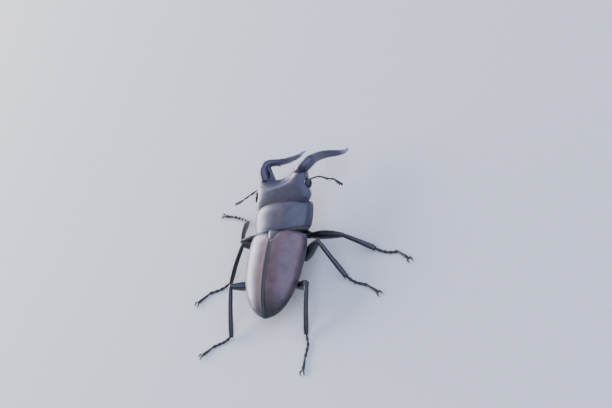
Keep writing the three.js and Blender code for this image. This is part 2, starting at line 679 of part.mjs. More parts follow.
// Two hooks that part from one root and curve down to the floor.
function claws(leg) {
  const [from, to] = leg.toes.slice(-2).map(([x, y]) => new THREE.Vector3(x, y, TOE.height));
  const ahead = to.clone().sub(from).normalize();
  const reach = CLAW.length * CLAW.bend;
  const thickness = [CLAW.radius, CLAW.radius, CLAW.tip];
  const hooks = [1, -1].map((side) => {
    const aside = ahead.clone().applyAxisAngle(new THREE.Vector3(0, 0, 1), rad(side * CLAW.spread));
    const start = to.clone().addScaledVector(ahead, -CLAW.sunk);
    const bend = start.clone().addScaledVector(aside, reach).setZ(CLAW.arch);
    const end = bend.clone().addScaledVector(ahead, reach).setZ(CLAW.tip);
    const path = [start, bend, end].map((p) => p.toArray());
    return limb(path, thickness, thickness, { rings: 4, sides: 4, floor: 0 });
  });
  return cutBy(joined(...hooks), toes(leg, GAP));
}

const belly = joined(waist[1], thorax(GAP), abdomen(GAP * 2));
for (const [name, leg] of Object.entries(LEG)) {
  addPart(beetle, `coxa_${name}`, cutBy(coxa(leg, 0), belly), LIMB);
  addPart(beetle, `femur_${name}`, cutBy(femur(leg, 0), coxa(leg, GAP), belly), LIMB);
  addPart(beetle, `tibia_${name}`, cutBy(tibia(leg, 0), femur(leg, GAP)), LIMB);
  addPart(beetle, `tarsus_${name}`, cutBy(toes(leg, 0), tibia(leg, GAP)), LIMB);
  addPart(beetle, `claws_${name}`, claws(leg), LIMB);
}

export default beetle;
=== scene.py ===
# %% [markdown]
# # A stag beetle, dressed over its solids
# This lesson dresses the faceted solids of a male saw stag beetle as a museum model: satin brown
# shell, black legs, bead-like feelers and a little golden hair where its plates meet. Every
# shape is worked out from the same few sizes as the solids, only with many more faces, so each
# fine piece takes the place of the plain one that it stands for.
# Sizes are in millimetres in the beetle's own frame: +Y forwards, +X its right, +Z up, floor at 0.

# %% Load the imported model
import math
import bpy
import numpy as np
from mathutils import Matrix, Vector


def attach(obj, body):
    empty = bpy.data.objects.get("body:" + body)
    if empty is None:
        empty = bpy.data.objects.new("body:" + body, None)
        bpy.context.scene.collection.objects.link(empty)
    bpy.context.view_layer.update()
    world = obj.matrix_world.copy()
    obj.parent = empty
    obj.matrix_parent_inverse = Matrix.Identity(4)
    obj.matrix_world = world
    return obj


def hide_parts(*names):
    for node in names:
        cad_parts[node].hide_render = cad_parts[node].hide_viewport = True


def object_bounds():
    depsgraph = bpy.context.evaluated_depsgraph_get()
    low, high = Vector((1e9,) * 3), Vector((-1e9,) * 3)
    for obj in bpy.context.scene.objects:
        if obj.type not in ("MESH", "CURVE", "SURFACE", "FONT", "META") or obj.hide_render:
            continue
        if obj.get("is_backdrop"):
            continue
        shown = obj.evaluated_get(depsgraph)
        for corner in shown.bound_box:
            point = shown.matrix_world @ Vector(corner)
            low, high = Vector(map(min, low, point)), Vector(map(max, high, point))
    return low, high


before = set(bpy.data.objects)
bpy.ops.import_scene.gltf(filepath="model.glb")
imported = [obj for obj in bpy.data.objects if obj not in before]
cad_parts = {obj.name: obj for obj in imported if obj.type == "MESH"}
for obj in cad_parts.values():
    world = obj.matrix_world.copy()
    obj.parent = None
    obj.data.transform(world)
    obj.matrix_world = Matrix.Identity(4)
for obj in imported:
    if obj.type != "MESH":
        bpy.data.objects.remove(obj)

solid_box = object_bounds()
print("solids:", len(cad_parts), "box:", [round(v * 1000, 1) for v in solid_box[1] - solid_box[0]], "mm")

# %% [markdown]
# ## Camera
# A long lens looks down on the beetle from its right and a little behind, with the head at the
# top of the picture. The camera could be aimed by hand, but a view is easier to repeat when it is
# built from its angles: where it stands round the beetle, how far off, and how it rolls.
# The beetle isn't in the middle of the picture, so the camera is turned a little off it.

# %% Camera
MM = 0.001
IMAGE = (612, 408)
LENS_MM, SENSOR_MM = 85.0, 36.0
CAMERA = {"azimuth": 59.05, "elevation": 46.65, "roll": 16.26, "distance": 436.2}
CAMERA_TARGET = (0.0, -8.0, 9.0)
TARGET_PIXEL = (274.9, 256.4)
MIDDLE_OF_STANCE = Vector((4.79, -5.19, 0.0))


def to_metres(point):
    return (Vector(point) - MIDDLE_OF_STANCE) * MM


def make_camera():
    azimuth, elevation = math.radians(CAMERA["azimuth"]), math.radians(CAMERA["elevation"])
    flat = math.cos(elevation)
    back = Vector((flat * math.sin(azimuth), -flat * math.cos(azimuth), math.sin(elevation)))
    up = (Vector((0, 1, 0)) - back * back.y).normalized()
    right = up.cross(back)
    level = Matrix((right, up, back)).transposed()
    pixels = LENS_MM / SENSOR_MM * IMAGE[0]
    aside = Vector((TARGET_PIXEL[0] - IMAGE[0] / 2, IMAGE[1] / 2 - TARGET_PIXEL[1], -pixels))
    turn = aside.rotation_difference(Vector((0, 0, -1))).to_matrix()
    facing = level @ Matrix.Rotation(math.radians(CAMERA["roll"]), 3, "Z") @ turn
    data = bpy.data.cameras.new("camera")
    data.lens, data.sensor_width, data.clip_start = LENS_MM, SENSOR_MM, 0.01
    camera = bpy.data.objects.new("camera", data)
    bpy.context.scene.collection.objects.link(camera)
    place = to_metres(CAMERA_TARGET) + back * CAMERA["distance"] * MM
    camera.matrix_world = Matrix.Translation(place) @ facing.to_4x4()
    bpy.context.scene.camera = camera
    return camera


camera = make_camera()
print("camera at", [round(v, 3) for v in camera.matrix_world.translation], "m")

# %% [markdown]
# ## Smooth curves
# A beetle's plates swell and narrow gently, and its limbs bend smoothly. Both could be sculpted,
# but here each is a short list of sizes with a curve through it: one kind of curve for a size
# that changes along the body, which never overshoots, and one for the middle line of a limb.

# %% Curves
TINY = 1e-12


def through_points(xs, ys):
    """A smooth function through (xs, ys) that never overshoots them."""
    xs, ys = np.array(xs, float), np.array(ys, float)
    slope = np.diff(ys) / np.diff(xs)
    product, total = slope[:-1] * slope[1:], slope[:-1] + slope[1:]
    inner = np.where(product > 0, 2 * product / (total + TINY), 0)
    tangent = np.concatenate([slope[:1], inner, slope[-1:]])

    def value(x):
        x = np.clip(x, xs[0], xs[-1])
        i = np.clip(np.searchsorted(xs, x) - 1, 0, len(xs) - 2)
        width = xs[i + 1] - xs[i]
        t = (x - xs[i]) / width
        level = ys[i] * (1 - t) ** 2 * (1 + 2 * t) + ys[i + 1] * t * t * (3 - 2 * t)
        return level + width * (tangent[i] * t * (1 - t) ** 2 - tangent[i + 1] * t * t * (1 - t))

    return value


def spread(values):
    """The same, for a list spread evenly over 0 to 1."""
    return through_points(np.linspace(0, 1, len(values)), values)


def smooth_path(points, count, fineness=40):
    """Evenly spaced points and directions along a smooth curve through a few points."""
    given = np.array(points, float)
    given = np.vstack([2 * given[0] - given[1], given, 2 * given[-1] - given[-2]])
    dense = []
    for a, b, c, d in zip(given, given[1:], given[2:], given[3:]):
        before, span, after = (math.sqrt(np.linalg.norm(q - p)) for p, q in ((a, b), (b, c), (c, d)))
        leave = span * ((b - a) / before - (c - a) / (before + span) + (c - b) / span)
        arrive = span * ((c - b) / span - (d - b) / (span + after) + (d - c) / after)
        t = np.linspace(0, 1, fineness, endpoint=False)[:, None]
        bend = (-3 * b + 3 * c - 2 * leave - arrive) * t**2 + (2 * b - 2 * c + leave + arrive) * t**3
        dense.append(b + leave * t + bend)
    dense = np.vstack([*dense, given[-2:-1]])
    reach = np.concatenate([[0], np.cumsum(np.linalg.norm(np.diff(dense, axis=0), axis=1))])
    even = np.linspace(0, reach[-1], count)
    line = np.stack([np.interp(even, reach, dense[:, k]) for k in range(3)], axis=1)
    along = np.gradient(line, axis=0)
    return line, along / np.linalg.norm(along, axis=1, keepdims=True)


def smoothstep(x, low, high):
    t = np.clip((x - low) / (high - low), 0, 1)
    return t * t * (3 - 2 * t)


def bump(x, centre, width):
    """A soft rise of height 1, for ridges, furrows and rims."""
    return np.exp(-(((x - centre) / width) ** 2))


print("halfway along 0, 1, 4 the curve reads", round(float(spread([0, 1, 4])(0.5)), 2))

# %% [markdown]
# ## Turned parts of the body
# The beetle looks slightly to its left and lifts its front: pronotum and head turn together
# about the waist, and the head turns a little more at the neck. Empties could carry them, but
# every finished mesh has to keep its place in its own vertices, so points are turned instead.

# %% Turning the front of the body
FOREBODY = {"pivot": (0, 0, 9), "yaw": 11, "pitch": 10, "roll": 3}
HEAD_TURN = {"pivot": (0, 18, 9), "yaw": 4, "pitch": -5, "roll": -4}


def turned(points, turn):
    """Points turned about a pivot: yaw about Z, then pitch about X, then roll about Y."""
    yaw, pitch, roll = (math.radians(turn[key]) for key in ("yaw", "pitch", "roll"))
    spin = Matrix.Rotation(yaw, 3, "Z") @ Matrix.Rotation(pitch, 3, "X") @ Matrix.Rotation(roll, 3, "Y")
    pivot = np.array(turn["pivot"], float)
    return (np.asarray(points, float) - pivot) @ np.array(spin).T + pivot


def from_forebody(points):
    return turned(points, FOREBODY)


def from_head(points):
    return from_forebody(turned(points, HEAD_TURN))


print("nose of the head at", from_head([(0, 18, 9)]).round(1)[0])

# %% [markdown]
# ## From rings to meshes
# Nearly every part is a row of rings round a middle line. A Skin or Curve modifier could make
# them, but rings in plain code give an exact section at every place. A shape here is a pair of
# corners and faces, and a piece is one mesh made of one or more shapes.

# %% Rings, shapes and pieces
def loft(rings, laced=False):
    """Faces between rings of equal length. Each end is a fan, or is laced between its halves."""
    rings = np.asarray(rings, float)
    count, size = rings.shape[:2]
    corners = rings.reshape(-1, 3)
    here = np.arange(count - 1)[:, None] * size + np.arange(size)
    there = np.arange(count - 1)[:, None] * size + (np.arange(size) + 1) % size
    faces = np.stack([here, there, there + size, here + size], axis=-1).reshape(-1, 4).tolist()
    edge = (count - 1) * size
    if laced:
        for i in range(size // 2):
            strip = list(dict.fromkeys([i, i + 1, (size - i - 1) % size, (size - i) % size]))
            faces += [strip[::-1], [edge + k for k in strip]]
    else:
        corners = np.vstack([corners, rings[0].mean(axis=0), rings[-1].mean(axis=0)])
        first, last = len(corners) - 2, len(corners) - 1
        for i in range(size):
            j = (i + 1) % size
            faces += [[first, j, i], [last, edge + i, edge + j]]
    return outward(corners, faces)


def outward(corners, faces):
    """The same shape, with its faces turned outwards if they point in."""
    middle = corners.mean(axis=0)
    volume = 0
    for face in faces:
        ring = corners[face] - middle
        for k in range(1, len(face) - 1):
            volume += np.dot(ring[0], np.cross(ring[k], ring[k + 1]))
    return corners, faces if volume > 0 else [face[::-1] for face in faces]


def ring_frames(along):
    """Sideways and upward directions for rings along a path, level across."""
    across = np.cross([0, 0, 1], along)
    across /= np.linalg.norm(across, axis=1, keepdims=True)
    return across, np.cross(along, across)


def limb(points, half_width, half_height, sides=20, count=40, floor=None, squareness=1.0):
    """A tapering limb with rounded ends, its sizes spread evenly along it, never below its floor."""
    line, along = smooth_path(points, count)
    across, up = ring_frames(along)
    t = np.linspace(0, 1, count)
    width, height = spread(half_width)(t), spread(half_height)(t)
    turn = np.linspace(0, 2 * np.pi, sides, endpoint=False) + np.pi / sides
    cos, sin = (np.sign(f) * np.abs(f) ** squareness for f in (np.cos(turn), np.sin(turn)))
    rings = []
    for place in [*rounded_end(0), *[(i, 0, 1) for i in range(count)], *rounded_end(count - 1)]:
        i, beyond, shrink = place
        middle = line[i] + along[i] * beyond * min(width[i], height[i])
        ring = middle + shrink * (width[i] * np.outer(cos, across[i]) + height[i] * np.outer(sin, up[i]))
        rings.append(ring)
    rings = np.array(rings)
    if floor is not None:
        rings[..., 2] = np.maximum(rings[..., 2], floor)
    return loft(rings)


def rounded_end(i, steps=4, bulge=0.7, short_of_pole=0.94):
    """Rings that round off an end, as (place, distance beyond it, share of the size)."""
    angles = np.linspace(0, np.pi / 2, steps + 1)[1:] * short_of_pole
    end = [(i, bulge * math.sin(a), math.cos(a)) for a in angles]
    return [(i, -b, s) for i, b, s in reversed(end)] if i == 0 else end


def thorn(root, aim, length, radius, sides=10, steps=7, curl=(0, 0, 0)):
    """A spine or tooth: a horn that narrows to a blunt point and may curl."""
    fullness, bluntness = 0.8, 0.06
    root, aim, curl = (np.array(v, float) for v in (root, aim, curl))
    aim /= np.linalg.norm(aim)
    side = np.cross(aim, [0, 0, 1] if abs(aim[2]) < 0.9 else [0, 1, 0])
    side /= np.linalg.norm(side)
    other = np.cross(aim, side)
    turn = np.linspace(0, 2 * np.pi, sides, endpoint=False)
    rings = []
    for t in np.linspace(0, 1, steps + 1):
        middle = root + aim * length * t + curl * length * t * t
        size = radius * (1 - t) ** fullness + radius * bluntness
        rings.append(middle + size * (np.outer(np.cos(turn), side) + np.outer(np.sin(turn), other)))
    return loft(rings)


def ball(centre, radii, across=40, rings=24):
    turn = np.linspace(0, 2 * np.pi, across, endpoint=False)
    shape = []
    for level in np.linspace(-np.pi / 2, np.pi / 2, rings + 2)[1:-1]:
        flat, height = np.cos(level), np.full(across, np.sin(level))
        shape.append(np.stack([flat * np.cos(turn), flat * np.sin(turn), height], 1))
    return loft(np.array(shape) * radii + centre)


def moved(shape, change):
    return change(shape[0]), shape[1]


def gathered(shapes):
    """Several shapes as one list of corners and one of faces."""
    corners, faces, start = [], [], 0
    for shape_corners, shape_faces in shapes:
        corners.append(shape_corners)
        faces += [[start + i for i in face] for face in shape_faces]
        start += len(shape_corners)
    return np.vstack(corners), faces


def melted(shapes, grain, smoothing=4):
    """Shapes that pass through each other, melted into one skin: a voxel remesh, then a smooth."""
    corners, faces = gathered(shapes)
    mesh = bpy.data.meshes.new("melting")
    mesh.from_pydata((corners * MM).tolist(), [], faces)
    lump = bpy.data.objects.new("melting", mesh)
    bpy.context.scene.collection.objects.link(lump)
    remesh = lump.modifiers.new("one skin", "REMESH")
    remesh.mode, remesh.voxel_size = "VOXEL", grain * MM
    soften = lump.modifiers.new("soften", "SMOOTH")
    soften.factor, soften.iterations = 0.5, smoothing
    skin = bpy.data.meshes.new_from_object(lump.evaluated_get(bpy.context.evaluated_depsgraph_get()))
    places = np.empty(len(skin.vertices) * 3, np.float32)
    skin.vertices.foreach_get("co", places)
    result = places.reshape(-1, 3).astype(float) / MM, [list(face.vertices) for face in skin.polygons]
    bpy.data.objects.remove(lump)
    return result


def piece(name, shapes, material, replaces=(), crease=50, marks=None):
    """One finished mesh from shapes in the beetle's frame, riding on the still body."""
    corners, faces = gathered(shapes)
    if callable(marks):
        marks = marks(corners)
    corners = (corners - np.array(MIDDLE_OF_STANCE)) * MM
    mesh = bpy.data.meshes.new(name)
    mesh.from_pydata(corners.tolist(), [], faces)
    mesh.validate()
    mesh.shade_smooth()
    mesh.set_sharp_from_angle(angle=math.radians(crease))
    # Marks are painted shade and highlight, kept as the 'dark' attribute.
    if marks is not None:
        layer = mesh.attributes.new("dark", "FLOAT", "POINT")
        layer.data.foreach_set("value", np.resize(marks, len(mesh.vertices)).astype(np.float32))
    return dress(mesh, name, material, replaces)


def dress(mesh, name, material, replaces=()):
    mesh.materials.clear()
    mesh.materials.append(material)
    made = bpy.data.objects.new(name, mesh)
    bpy.context.scene.collection.objects.link(made)
    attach(made, "root")
    if replaces:
        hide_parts(*replaces)
    return made


SIDES = (("right", 1), ("left", -1))
print("a test thorn has", len(thorn((0, 0, 0), (0, 0, 1), 1, 0.3)[1]), "faces")

# %% [markdown]
# ## Shell, the material of an insect
# Beetle shell is sclerotised cuticle: many clear layers of chitin that dry hard, brown to black,
# with an index near 1.56. Its skin is smooth but pitted with tiny punctures, so it shines softly
# and the sky lies on it as a pale veil. A glossy plastic would look too clean, so each finish
# here mottles its brown over a few millimetres, pits it and lets the gloss wander.
# Real punctures are about a tenth of a millimetre apart. That is too fine to show from here, so
# they are drawn 0.12 to 0.35 mm apart, up to three and a half times too coarse.

# %% Helpers for materials
def colour(hex_code):
    """An sRGB hex colour as linear red, green, blue and full alpha."""
    srgb = [int(hex_code[i : i + 2], 16) / 255 for i in (1, 3, 5)]
    return (*[c / 12.92 if c <= 0.04045 else ((c + 0.055) / 1.055) ** 2.4 for c in srgb], 1.0)


def add(tree, kind, inputs=None, **settings):
    """One node with its settings; an input is a value or another node's output."""
    node = tree.nodes.new(kind)
    for key, value in settings.items():
        setattr(node, key, value)
    for key, value in (inputs or {}).items():
        if isinstance(value, bpy.types.NodeSocket):
            tree.links.new(value, node.inputs[key])
        else:
            node.inputs[key].default_value = value
    return node


def per_mm(size):
    """The scale of a pattern whose features are this many millimetres apart."""
    return 1 / (size * MM)


CUTICLE_IOR = 1.56
SKY_VEIL = "#aebbe0"
GRAIN_MM = 0.6
GLOSSIER, DULLER = 0.06, 0.08


def cuticle(name, deep, warm, edge, roughness, mottle=2.5, pit=0.35, pit_depth=0.02, bloom=0.0, coat=0.0):
    """Hard, dried chitin: a mottled brown with fine punctures, and the colour given as edge painted where
    marked, as shade, dark reflection or highlight.
    """
    material = bpy.data.materials.new(name)
    material.use_nodes = True
    tree = material.node_tree
    shader = tree.nodes["Principled BSDF"]
    place = add(tree, "ShaderNodeTexCoord").outputs["Object"]
    cloud = add(tree, "ShaderNodeTexNoise", {"Vector": place, "Scale": per_mm(mottle), "Detail": 5.0})
    contrast = {"Value": cloud.outputs["Fac"], "From Min": 0.35, "From Max": 0.65}
    softened = add(tree, "ShaderNodeMapRange", contrast)
    brown = add(tree, "ShaderNodeMix", {"Factor": softened.outputs["Result"]}, data_type="RGBA")
    brown.inputs["A"].default_value, brown.inputs["B"].default_value = colour(deep), colour(warm)
    # Where the 'dark' attribute marks it, the edge colour paints shade, dark reflections or highlights.
    dark = add(tree, "ShaderNodeAttribute", attribute_name="dark")
    painted_light_mix = add(tree, "ShaderNodeMix", {"Factor": dark.outputs["Fac"]}, data_type="RGBA")
    tree.links.new(brown.outputs["Result"], painted_light_mix.inputs["A"])
    painted_light_mix.inputs["B"].default_value = colour(edge)
    tree.links.new(painted_light_mix.outputs["Result"], shader.inputs["Base Color"])

    grain = add(tree, "ShaderNodeTexNoise", {"Vector": place, "Scale": per_mm(GRAIN_MM), "Detail": 3.0})
    gloss = add(tree, "ShaderNodeMapRange", {"Value": grain.outputs["Fac"]})
    gloss.inputs["To Min"].default_value = roughness - GLOSSIER
    gloss.inputs["To Max"].default_value = roughness + DULLER
    tree.links.new(gloss.outputs["Result"], shader.inputs["Roughness"])

    pits = add(tree, "ShaderNodeTexVoronoi", {"Vector": place, "Scale": per_mm(pit), "Randomness": 0.9})
    shallow = add(tree, "ShaderNodeMapRange", {"Value": pits.outputs["Distance"], "From Max": 0.45})
    both = {0: shallow.outputs["Result"], 1: grain.outputs["Fac"]}
    relief = add(tree, "ShaderNodeMath", both, operation="ADD")
    raised = add(tree, "ShaderNodeBump", {"Height": relief.outputs["Value"], "Strength": 0.35})
    raised.inputs["Distance"].default_value = pit_depth * MM
    tree.links.new(raised.outputs["Normal"], shader.inputs["Normal"])

    shader.inputs["IOR"].default_value = CUTICLE_IOR
    shader.inputs["Coat Weight"].default_value = coat
    shader.inputs["Coat Roughness"].default_value = 0.3
    shader.inputs["Sheen Weight"].default_value = bloom
    shader.inputs["Sheen Roughness"].default_value = 0.45
    shader.inputs["Sheen Tint"].default_value = colour(SKY_VEIL)
    return material


# %% [markdown]
# The same cuticle dries in several ways, and each gives the eye something else. Thick and
# layered over head and pronotum, it is nearly black with a grey-blue bloom. Thinner on the wing
# cases, it lets a warm chestnut through; a dark reflection is painted along the seam, and the
# cases are darker along the rim and towards the rear. Rubbed by use, it is smooth and glossy:
# black on the legs, violet on the jaws, whose tips carry a painted pale highlight. Thin and
# seldom rubbed, it is a dull dark brown on the belly and the feelers.
# A finish gives its two browns, the colour painted on its marked places as shade or highlight,
# and its roughness.

# %% Finishes of the shell
# A finish's third colour is painted on its marked places: shade on the shield, wing cases and scutellum, a
# dark reflection along the seam, and a pale highlight on the jaw tips.
SHIELD = cuticle("dried shield cuticle", "#2f303c", "#443c44", "#1d1e26", 0.35, bloom=0.5, coat=0.15)
WING = cuticle(
    "chestnut wing case cuticle", "#4b373b", "#6b4d52", "#15181a", 0.34, mottle=4.0, bloom=0.35, coat=0.25
)
JAW = cuticle(
    "polished jaw cuticle", "#2b2838", "#383243", "#8583a0", 0.3, pit=0.25, pit_depth=0.01, coat=0.3
)
LEG_BLACK = cuticle("black leg cuticle", "#111114", "#1c1b20", "#0b0a0b", 0.3, pit=0.25, coat=0.2)
BELLY = cuticle("dull belly cuticle", "#1c1412", "#2b1e1a", "#110c0b", 0.46, pit=0.3, pit_depth=0.03)
FEELER = cuticle("feeler cuticle", "#1b1412", "#2a1d18", "#120d0b", 0.50, pit=0.12, pit_depth=0.01)
print("shell finishes:", [m.name for m in (SHIELD, WING, JAW, LEG_BLACK, BELLY, FEELER)])


# %% [markdown]
# The eye is a dome of thousands of tiny lenses, each about 0.03 mm across. They are far too fine
# to see at this distance, so they are drawn about four times too coarse, as shallow cells in a
# wet-looking black. The hair is a thread of the same chitin as the shell, so thin that light
# passes through it and turns it gold.

# %% Finishes of eye and hair
EYE_LENS_MM = 0.12
EYE_LENS_HEIGHT_MM = 0.01
HAIR_STREAK_MM = 0.5


def eye_lenses():
    """Clear domed lenses over a black ground, smooth enough to look wet."""
    material = bpy.data.materials.new("black faceted lenses")
    material.use_nodes = True
    tree = material.node_tree
    shader = tree.nodes["Principled BSDF"]
    shader.inputs["Roughness"].default_value = 0.12
    shader.inputs["IOR"].default_value = 1.5
    place = add(tree, "ShaderNodeTexCoord").outputs["Object"]
    packing = {"Vector": place, "Scale": per_mm(EYE_LENS_MM), "Randomness": 0.25}
    cells = add(tree, "ShaderNodeTexVoronoi", packing)
    tint = add(tree, "ShaderNodeMix", {"Factor": cells.outputs["Distance"]}, data_type="RGBA")
    tint.inputs["A"].default_value, tint.inputs["B"].default_value = colour("#0b0b0d"), colour("#1b1714")
    tree.links.new(tint.outputs["Result"], shader.inputs["Base Color"])
    dome = add(tree, "ShaderNodeBump", {"Height": cells.outputs["Distance"], "Strength": 0.25}, invert=True)
    dome.inputs["Distance"].default_value = EYE_LENS_HEIGHT_MM * MM
    tree.links.new(dome.outputs["Normal"], shader.inputs["Normal"])
    return material


def golden_hair():
    """Fine bristles of the same chitin, thin enough for light to turn them gold."""
    material = bpy.data.materials.new("golden bristle hair")
    material.use_nodes = True
    tree = material.node_tree
    shader = tree.nodes["Principled BSDF"]
    shader.inputs["Roughness"].default_value = 0.42
    shader.inputs["IOR"].default_value = CUTICLE_IOR
    place = add(tree, "ShaderNodeTexCoord").outputs["Object"]
    streak = add(tree, "ShaderNodeTexNoise", {"Vector": place, "Scale": per_mm(HAIR_STREAK_MM)})
    tone = add(tree, "ShaderNodeMix", {"Factor": streak.outputs["Fac"]}, data_type="RGBA")
    tone.inputs["A"].default_value, tone.inputs["B"].default_value = colour("#8a4f1e"), colour("#d79a4c")
    tree.links.new(tone.outputs["Result"], shader.inputs["Base Color"])
    return material


EYE_BLACK = eye_lenses()
HAIR = golden_hair()
print("eye and hair:", EYE_BLACK.name, "and", HAIR.name)

# %% [markdown]
# ## Wing cases
# Two hard wing cases close over the back like a boat turned over. Each is half of a dome, from
# a seam in the middle to a thin raised rim at the side, and its edge folds under the body. A
# sculpted half sphere would do for a toy. A lofted section with its own rim and fold shows the
# shallow valley along the seam and the bright line of the rim, which make it a beetle.

# %% Sizes of the trunk
GAP = 0.06
# How boxy a section is: 1 is an ellipse, and less is squarer.
DOME_POWER = 0.9
SHIELD_POWER = 0.85
CASE = {
    "y": [-26.9, -25.8, -24, -21, -17, -12, -6, -1.5, -0.3],
    "half_width": [0.5, 3.2, 5.4, 7.5, 9.0, 9.8, 10.0, 9.4, 8.6],
    "margin": [5.2, 5.5, 5.75, 6.2, 6.7, 7.2, 7.85, 8.5, 8.8],
    "dome": [0.3, 0.9, 2.1, 3.5, 4.5, 5.3, 5.6, 4.4, 3.1],
}
PRONOTUM = {
    "y": [0.5, 1.1, 3, 6.2, 8.1, 9.0],
    "half_width": [8.9, 9.3, 9.6, 9.75, 9.6, 9.2],
    "margin": [7.9, 7.8, 7.5, 7.2, 7.0, 6.9],
    "dome": [4.3, 4.7, 4.8, 4.6, 4.2, 3.8],
    "rear_bow": -0.9,
    "front_bow": 0.3,
}


def size_curves(part, keys=("half_width", "margin", "dome")):
    """One curve over y for each list of a part's sizes."""
    return [through_points(part["y"], part[key]) for key in keys]


case_width, case_margin, case_dome = size_curves(CASE)
shield_width, shield_margin, shield_dome = size_curves(PRONOTUM)


def shield_rear_edge():
    """Where the rear edge of the pronotum runs, as y over x, in the beetle's frame."""
    rear = PRONOTUM["y"][0]
    a = shield_width(rear)
    turn = np.linspace(-1, 1, 81) * np.pi / 2
    x = a * np.sin(turn)
    z = shield_margin(rear) + shield_dome(rear) * np.cos(turn) ** DOME_POWER
    edge = from_forebody(np.stack([x, rear + PRONOTUM["rear_bow"] * (1 - (x / a) ** 2), z], 1))
    return lambda at: np.interp(at, edge[:, 0], edge[:, 1])


rear_edge = shield_rear_edge()
print("rear edge of the pronotum on the left, middle and right:", rear_edge([-8, 0, 8]).round(2))


# %% Outline of the scutellum
SCUTELLUM = {"front": -0.4, "tip": -4.6, "half_width": 2.2, "waist": 1.65, "bow": 0.6, "proud": 0.08}


def scutellum_outline():
    """Half of the plate's width over y: a curve from each shoulder to the tip."""
    s = np.linspace(0, 1, 60)
    bow = (SCUTELLUM["front"] + SCUTELLUM["tip"]) / 2 - SCUTELLUM["bow"]
    x = SCUTELLUM["half_width"] * (1 - s) ** 2 + 2 * SCUTELLUM["waist"] * s * (1 - s)
    y = SCUTELLUM["front"] * (1 - s) ** 2 + 2 * bow * s * (1 - s) + SCUTELLUM["tip"] * s**2
    return lambda at: np.interp(at, y[::-1], x[::-1])


scutellum_width = scutellum_outline()
print("the scutellum is", SCUTELLUM["front"] - SCUTELLUM["tip"], "mm long")


# %% Wing case mesh
# Heights of the relief, how far the case stops behind the pronotum, its lip and its fold.
CASE_RELIEF = {"bead": 0.14, "seam": 0.1, "furrow": 0.14, "shoulder": 0.18, "plate": 0.12, "roll": 0.6}
CASE_BEHIND_SHIELD = 0.5
CASE_LIP = {"out": 0.15, "up": 0.13}
CASE_FOLD = {"in": np.array([0.2, 0.5, 1.1]), "down": np.array([0.55, 0.62, 0.3])}
# Where a wing case is narrower than this, its relief shrinks with it.
NARROW = 4


def wing_case(side, rings=130, across=48):
    """A section runs from the seam over the top to the lip and the fold under it."""
    rear, front = CASE["y"][0], CASE["y"][-1]
    turn = np.concatenate([np.linspace(0, np.pi / 2, across + 1), np.full(13, np.pi / 2)])
    turn[-1] = 0
    base_x = GAP + (CASE["half_width"][-1] - GAP) * np.sin(turn)
    limit = np.minimum(front, rear_edge(side * base_x) - CASE_BEHIND_SHIELD)
    top, rim, fold = slice(0, across + 1), slice(across + 1, across + 10), slice(across + 10, across + 13)
    lip = np.radians(np.linspace(70, -110, 9))
    sections, shade = [], []
    for t in np.linspace(0, 1, rings + 1) ** 1.5:
        y = rear + (limit - rear) * t
        a, m, h = case_width(y), case_margin(y), case_dome(y)
        taper = np.minimum(1, a / NARROW)
        x = GAP + (a - GAP) * np.sin(turn) ** DOME_POWER
        z = m + h * np.maximum(0, np.cos(turn)) ** DOME_POWER
        x[rim] = (a - 0.02)[rim] + CASE_LIP["out"] * taper[rim] * np.cos(lip)
        z[rim] = (m - 0.03)[rim] + CASE_LIP["up"] * taper[rim] * np.sin(lip)
        x[fold] = np.maximum(2 * GAP, a[fold] - CASE_FOLD["in"] * taper[fold])
        z[fold] = m[fold] - CASE_FOLD["down"] * taper[fold]
        x[-1], z[-1] = GAP, m[-1] - 0.3 * taper[-1]
        over = np.zeros(len(turn))
        relief, out, back = CASE_RELIEF, x[top], y[top]
        over[top] = taper[top] * (relief["bead"] * bump(out, 0, 0.8) - relief["seam"] * bump(out, 0, 0.12))
        over[top] -= relief["furrow"] * taper[top] * bump(out, (a - 0.35 * taper)[top], 0.16)
        over[top] += relief["shoulder"] * bump(out, 6.4, 1.3) * bump(back, -3.2, 1.8)
        over[top] -= relief["plate"] * bump(out, scutellum_width(back), 0.2) * (back > SCUTELLUM["tip"] - 0.3)
        over[top] -= relief["roll"] * smoothstep(t, 0.975, 1.0) ** 2
        sections.append(np.stack([side * x, y, z + over], 1))
        # The mark paints a dark reflection along the seam and shade where the case rolls under the pronotum;
        # it is also darker along the rim and towards the rear.
        seam = 1 - smoothstep(x, 0.3, 1.5)
        border = smoothstep(x, a - 0.6 * taper, a - 0.2 * taper)
        tip = 0.85 * (1 - smoothstep(y, -26.5, -17.5))
        shade.append(np.clip(0.9 * seam + 0.6 * border + tip + smoothstep(t, 0.94, 1.0), 0, 1))
    return loft(sections), np.concatenate([*shade, [0.5, 0.5]])


for name, side in SIDES:
    shape, shade = wing_case(side)
    made = piece(f"wing_case_{name}", [shape], WING, [f"elytron_{name}"], marks=shade)
    print(made.name, len(made.data.polygons), "faces")

# %% [markdown]
# ## Scutellum
# The scutellum is the little shield between the roots of the wing cases. It could be painted on,
# but it is a plate of its own, so it is lofted from its outline with a rounded edge and sits just
# proud of the wing cases.

# %% Scutellum
PLATE_FRONT = -0.9
PLATE_CLEARANCE = 0.22
PLATE_THICKNESS = 1.3
PLATE_ROUNDING = 0.25


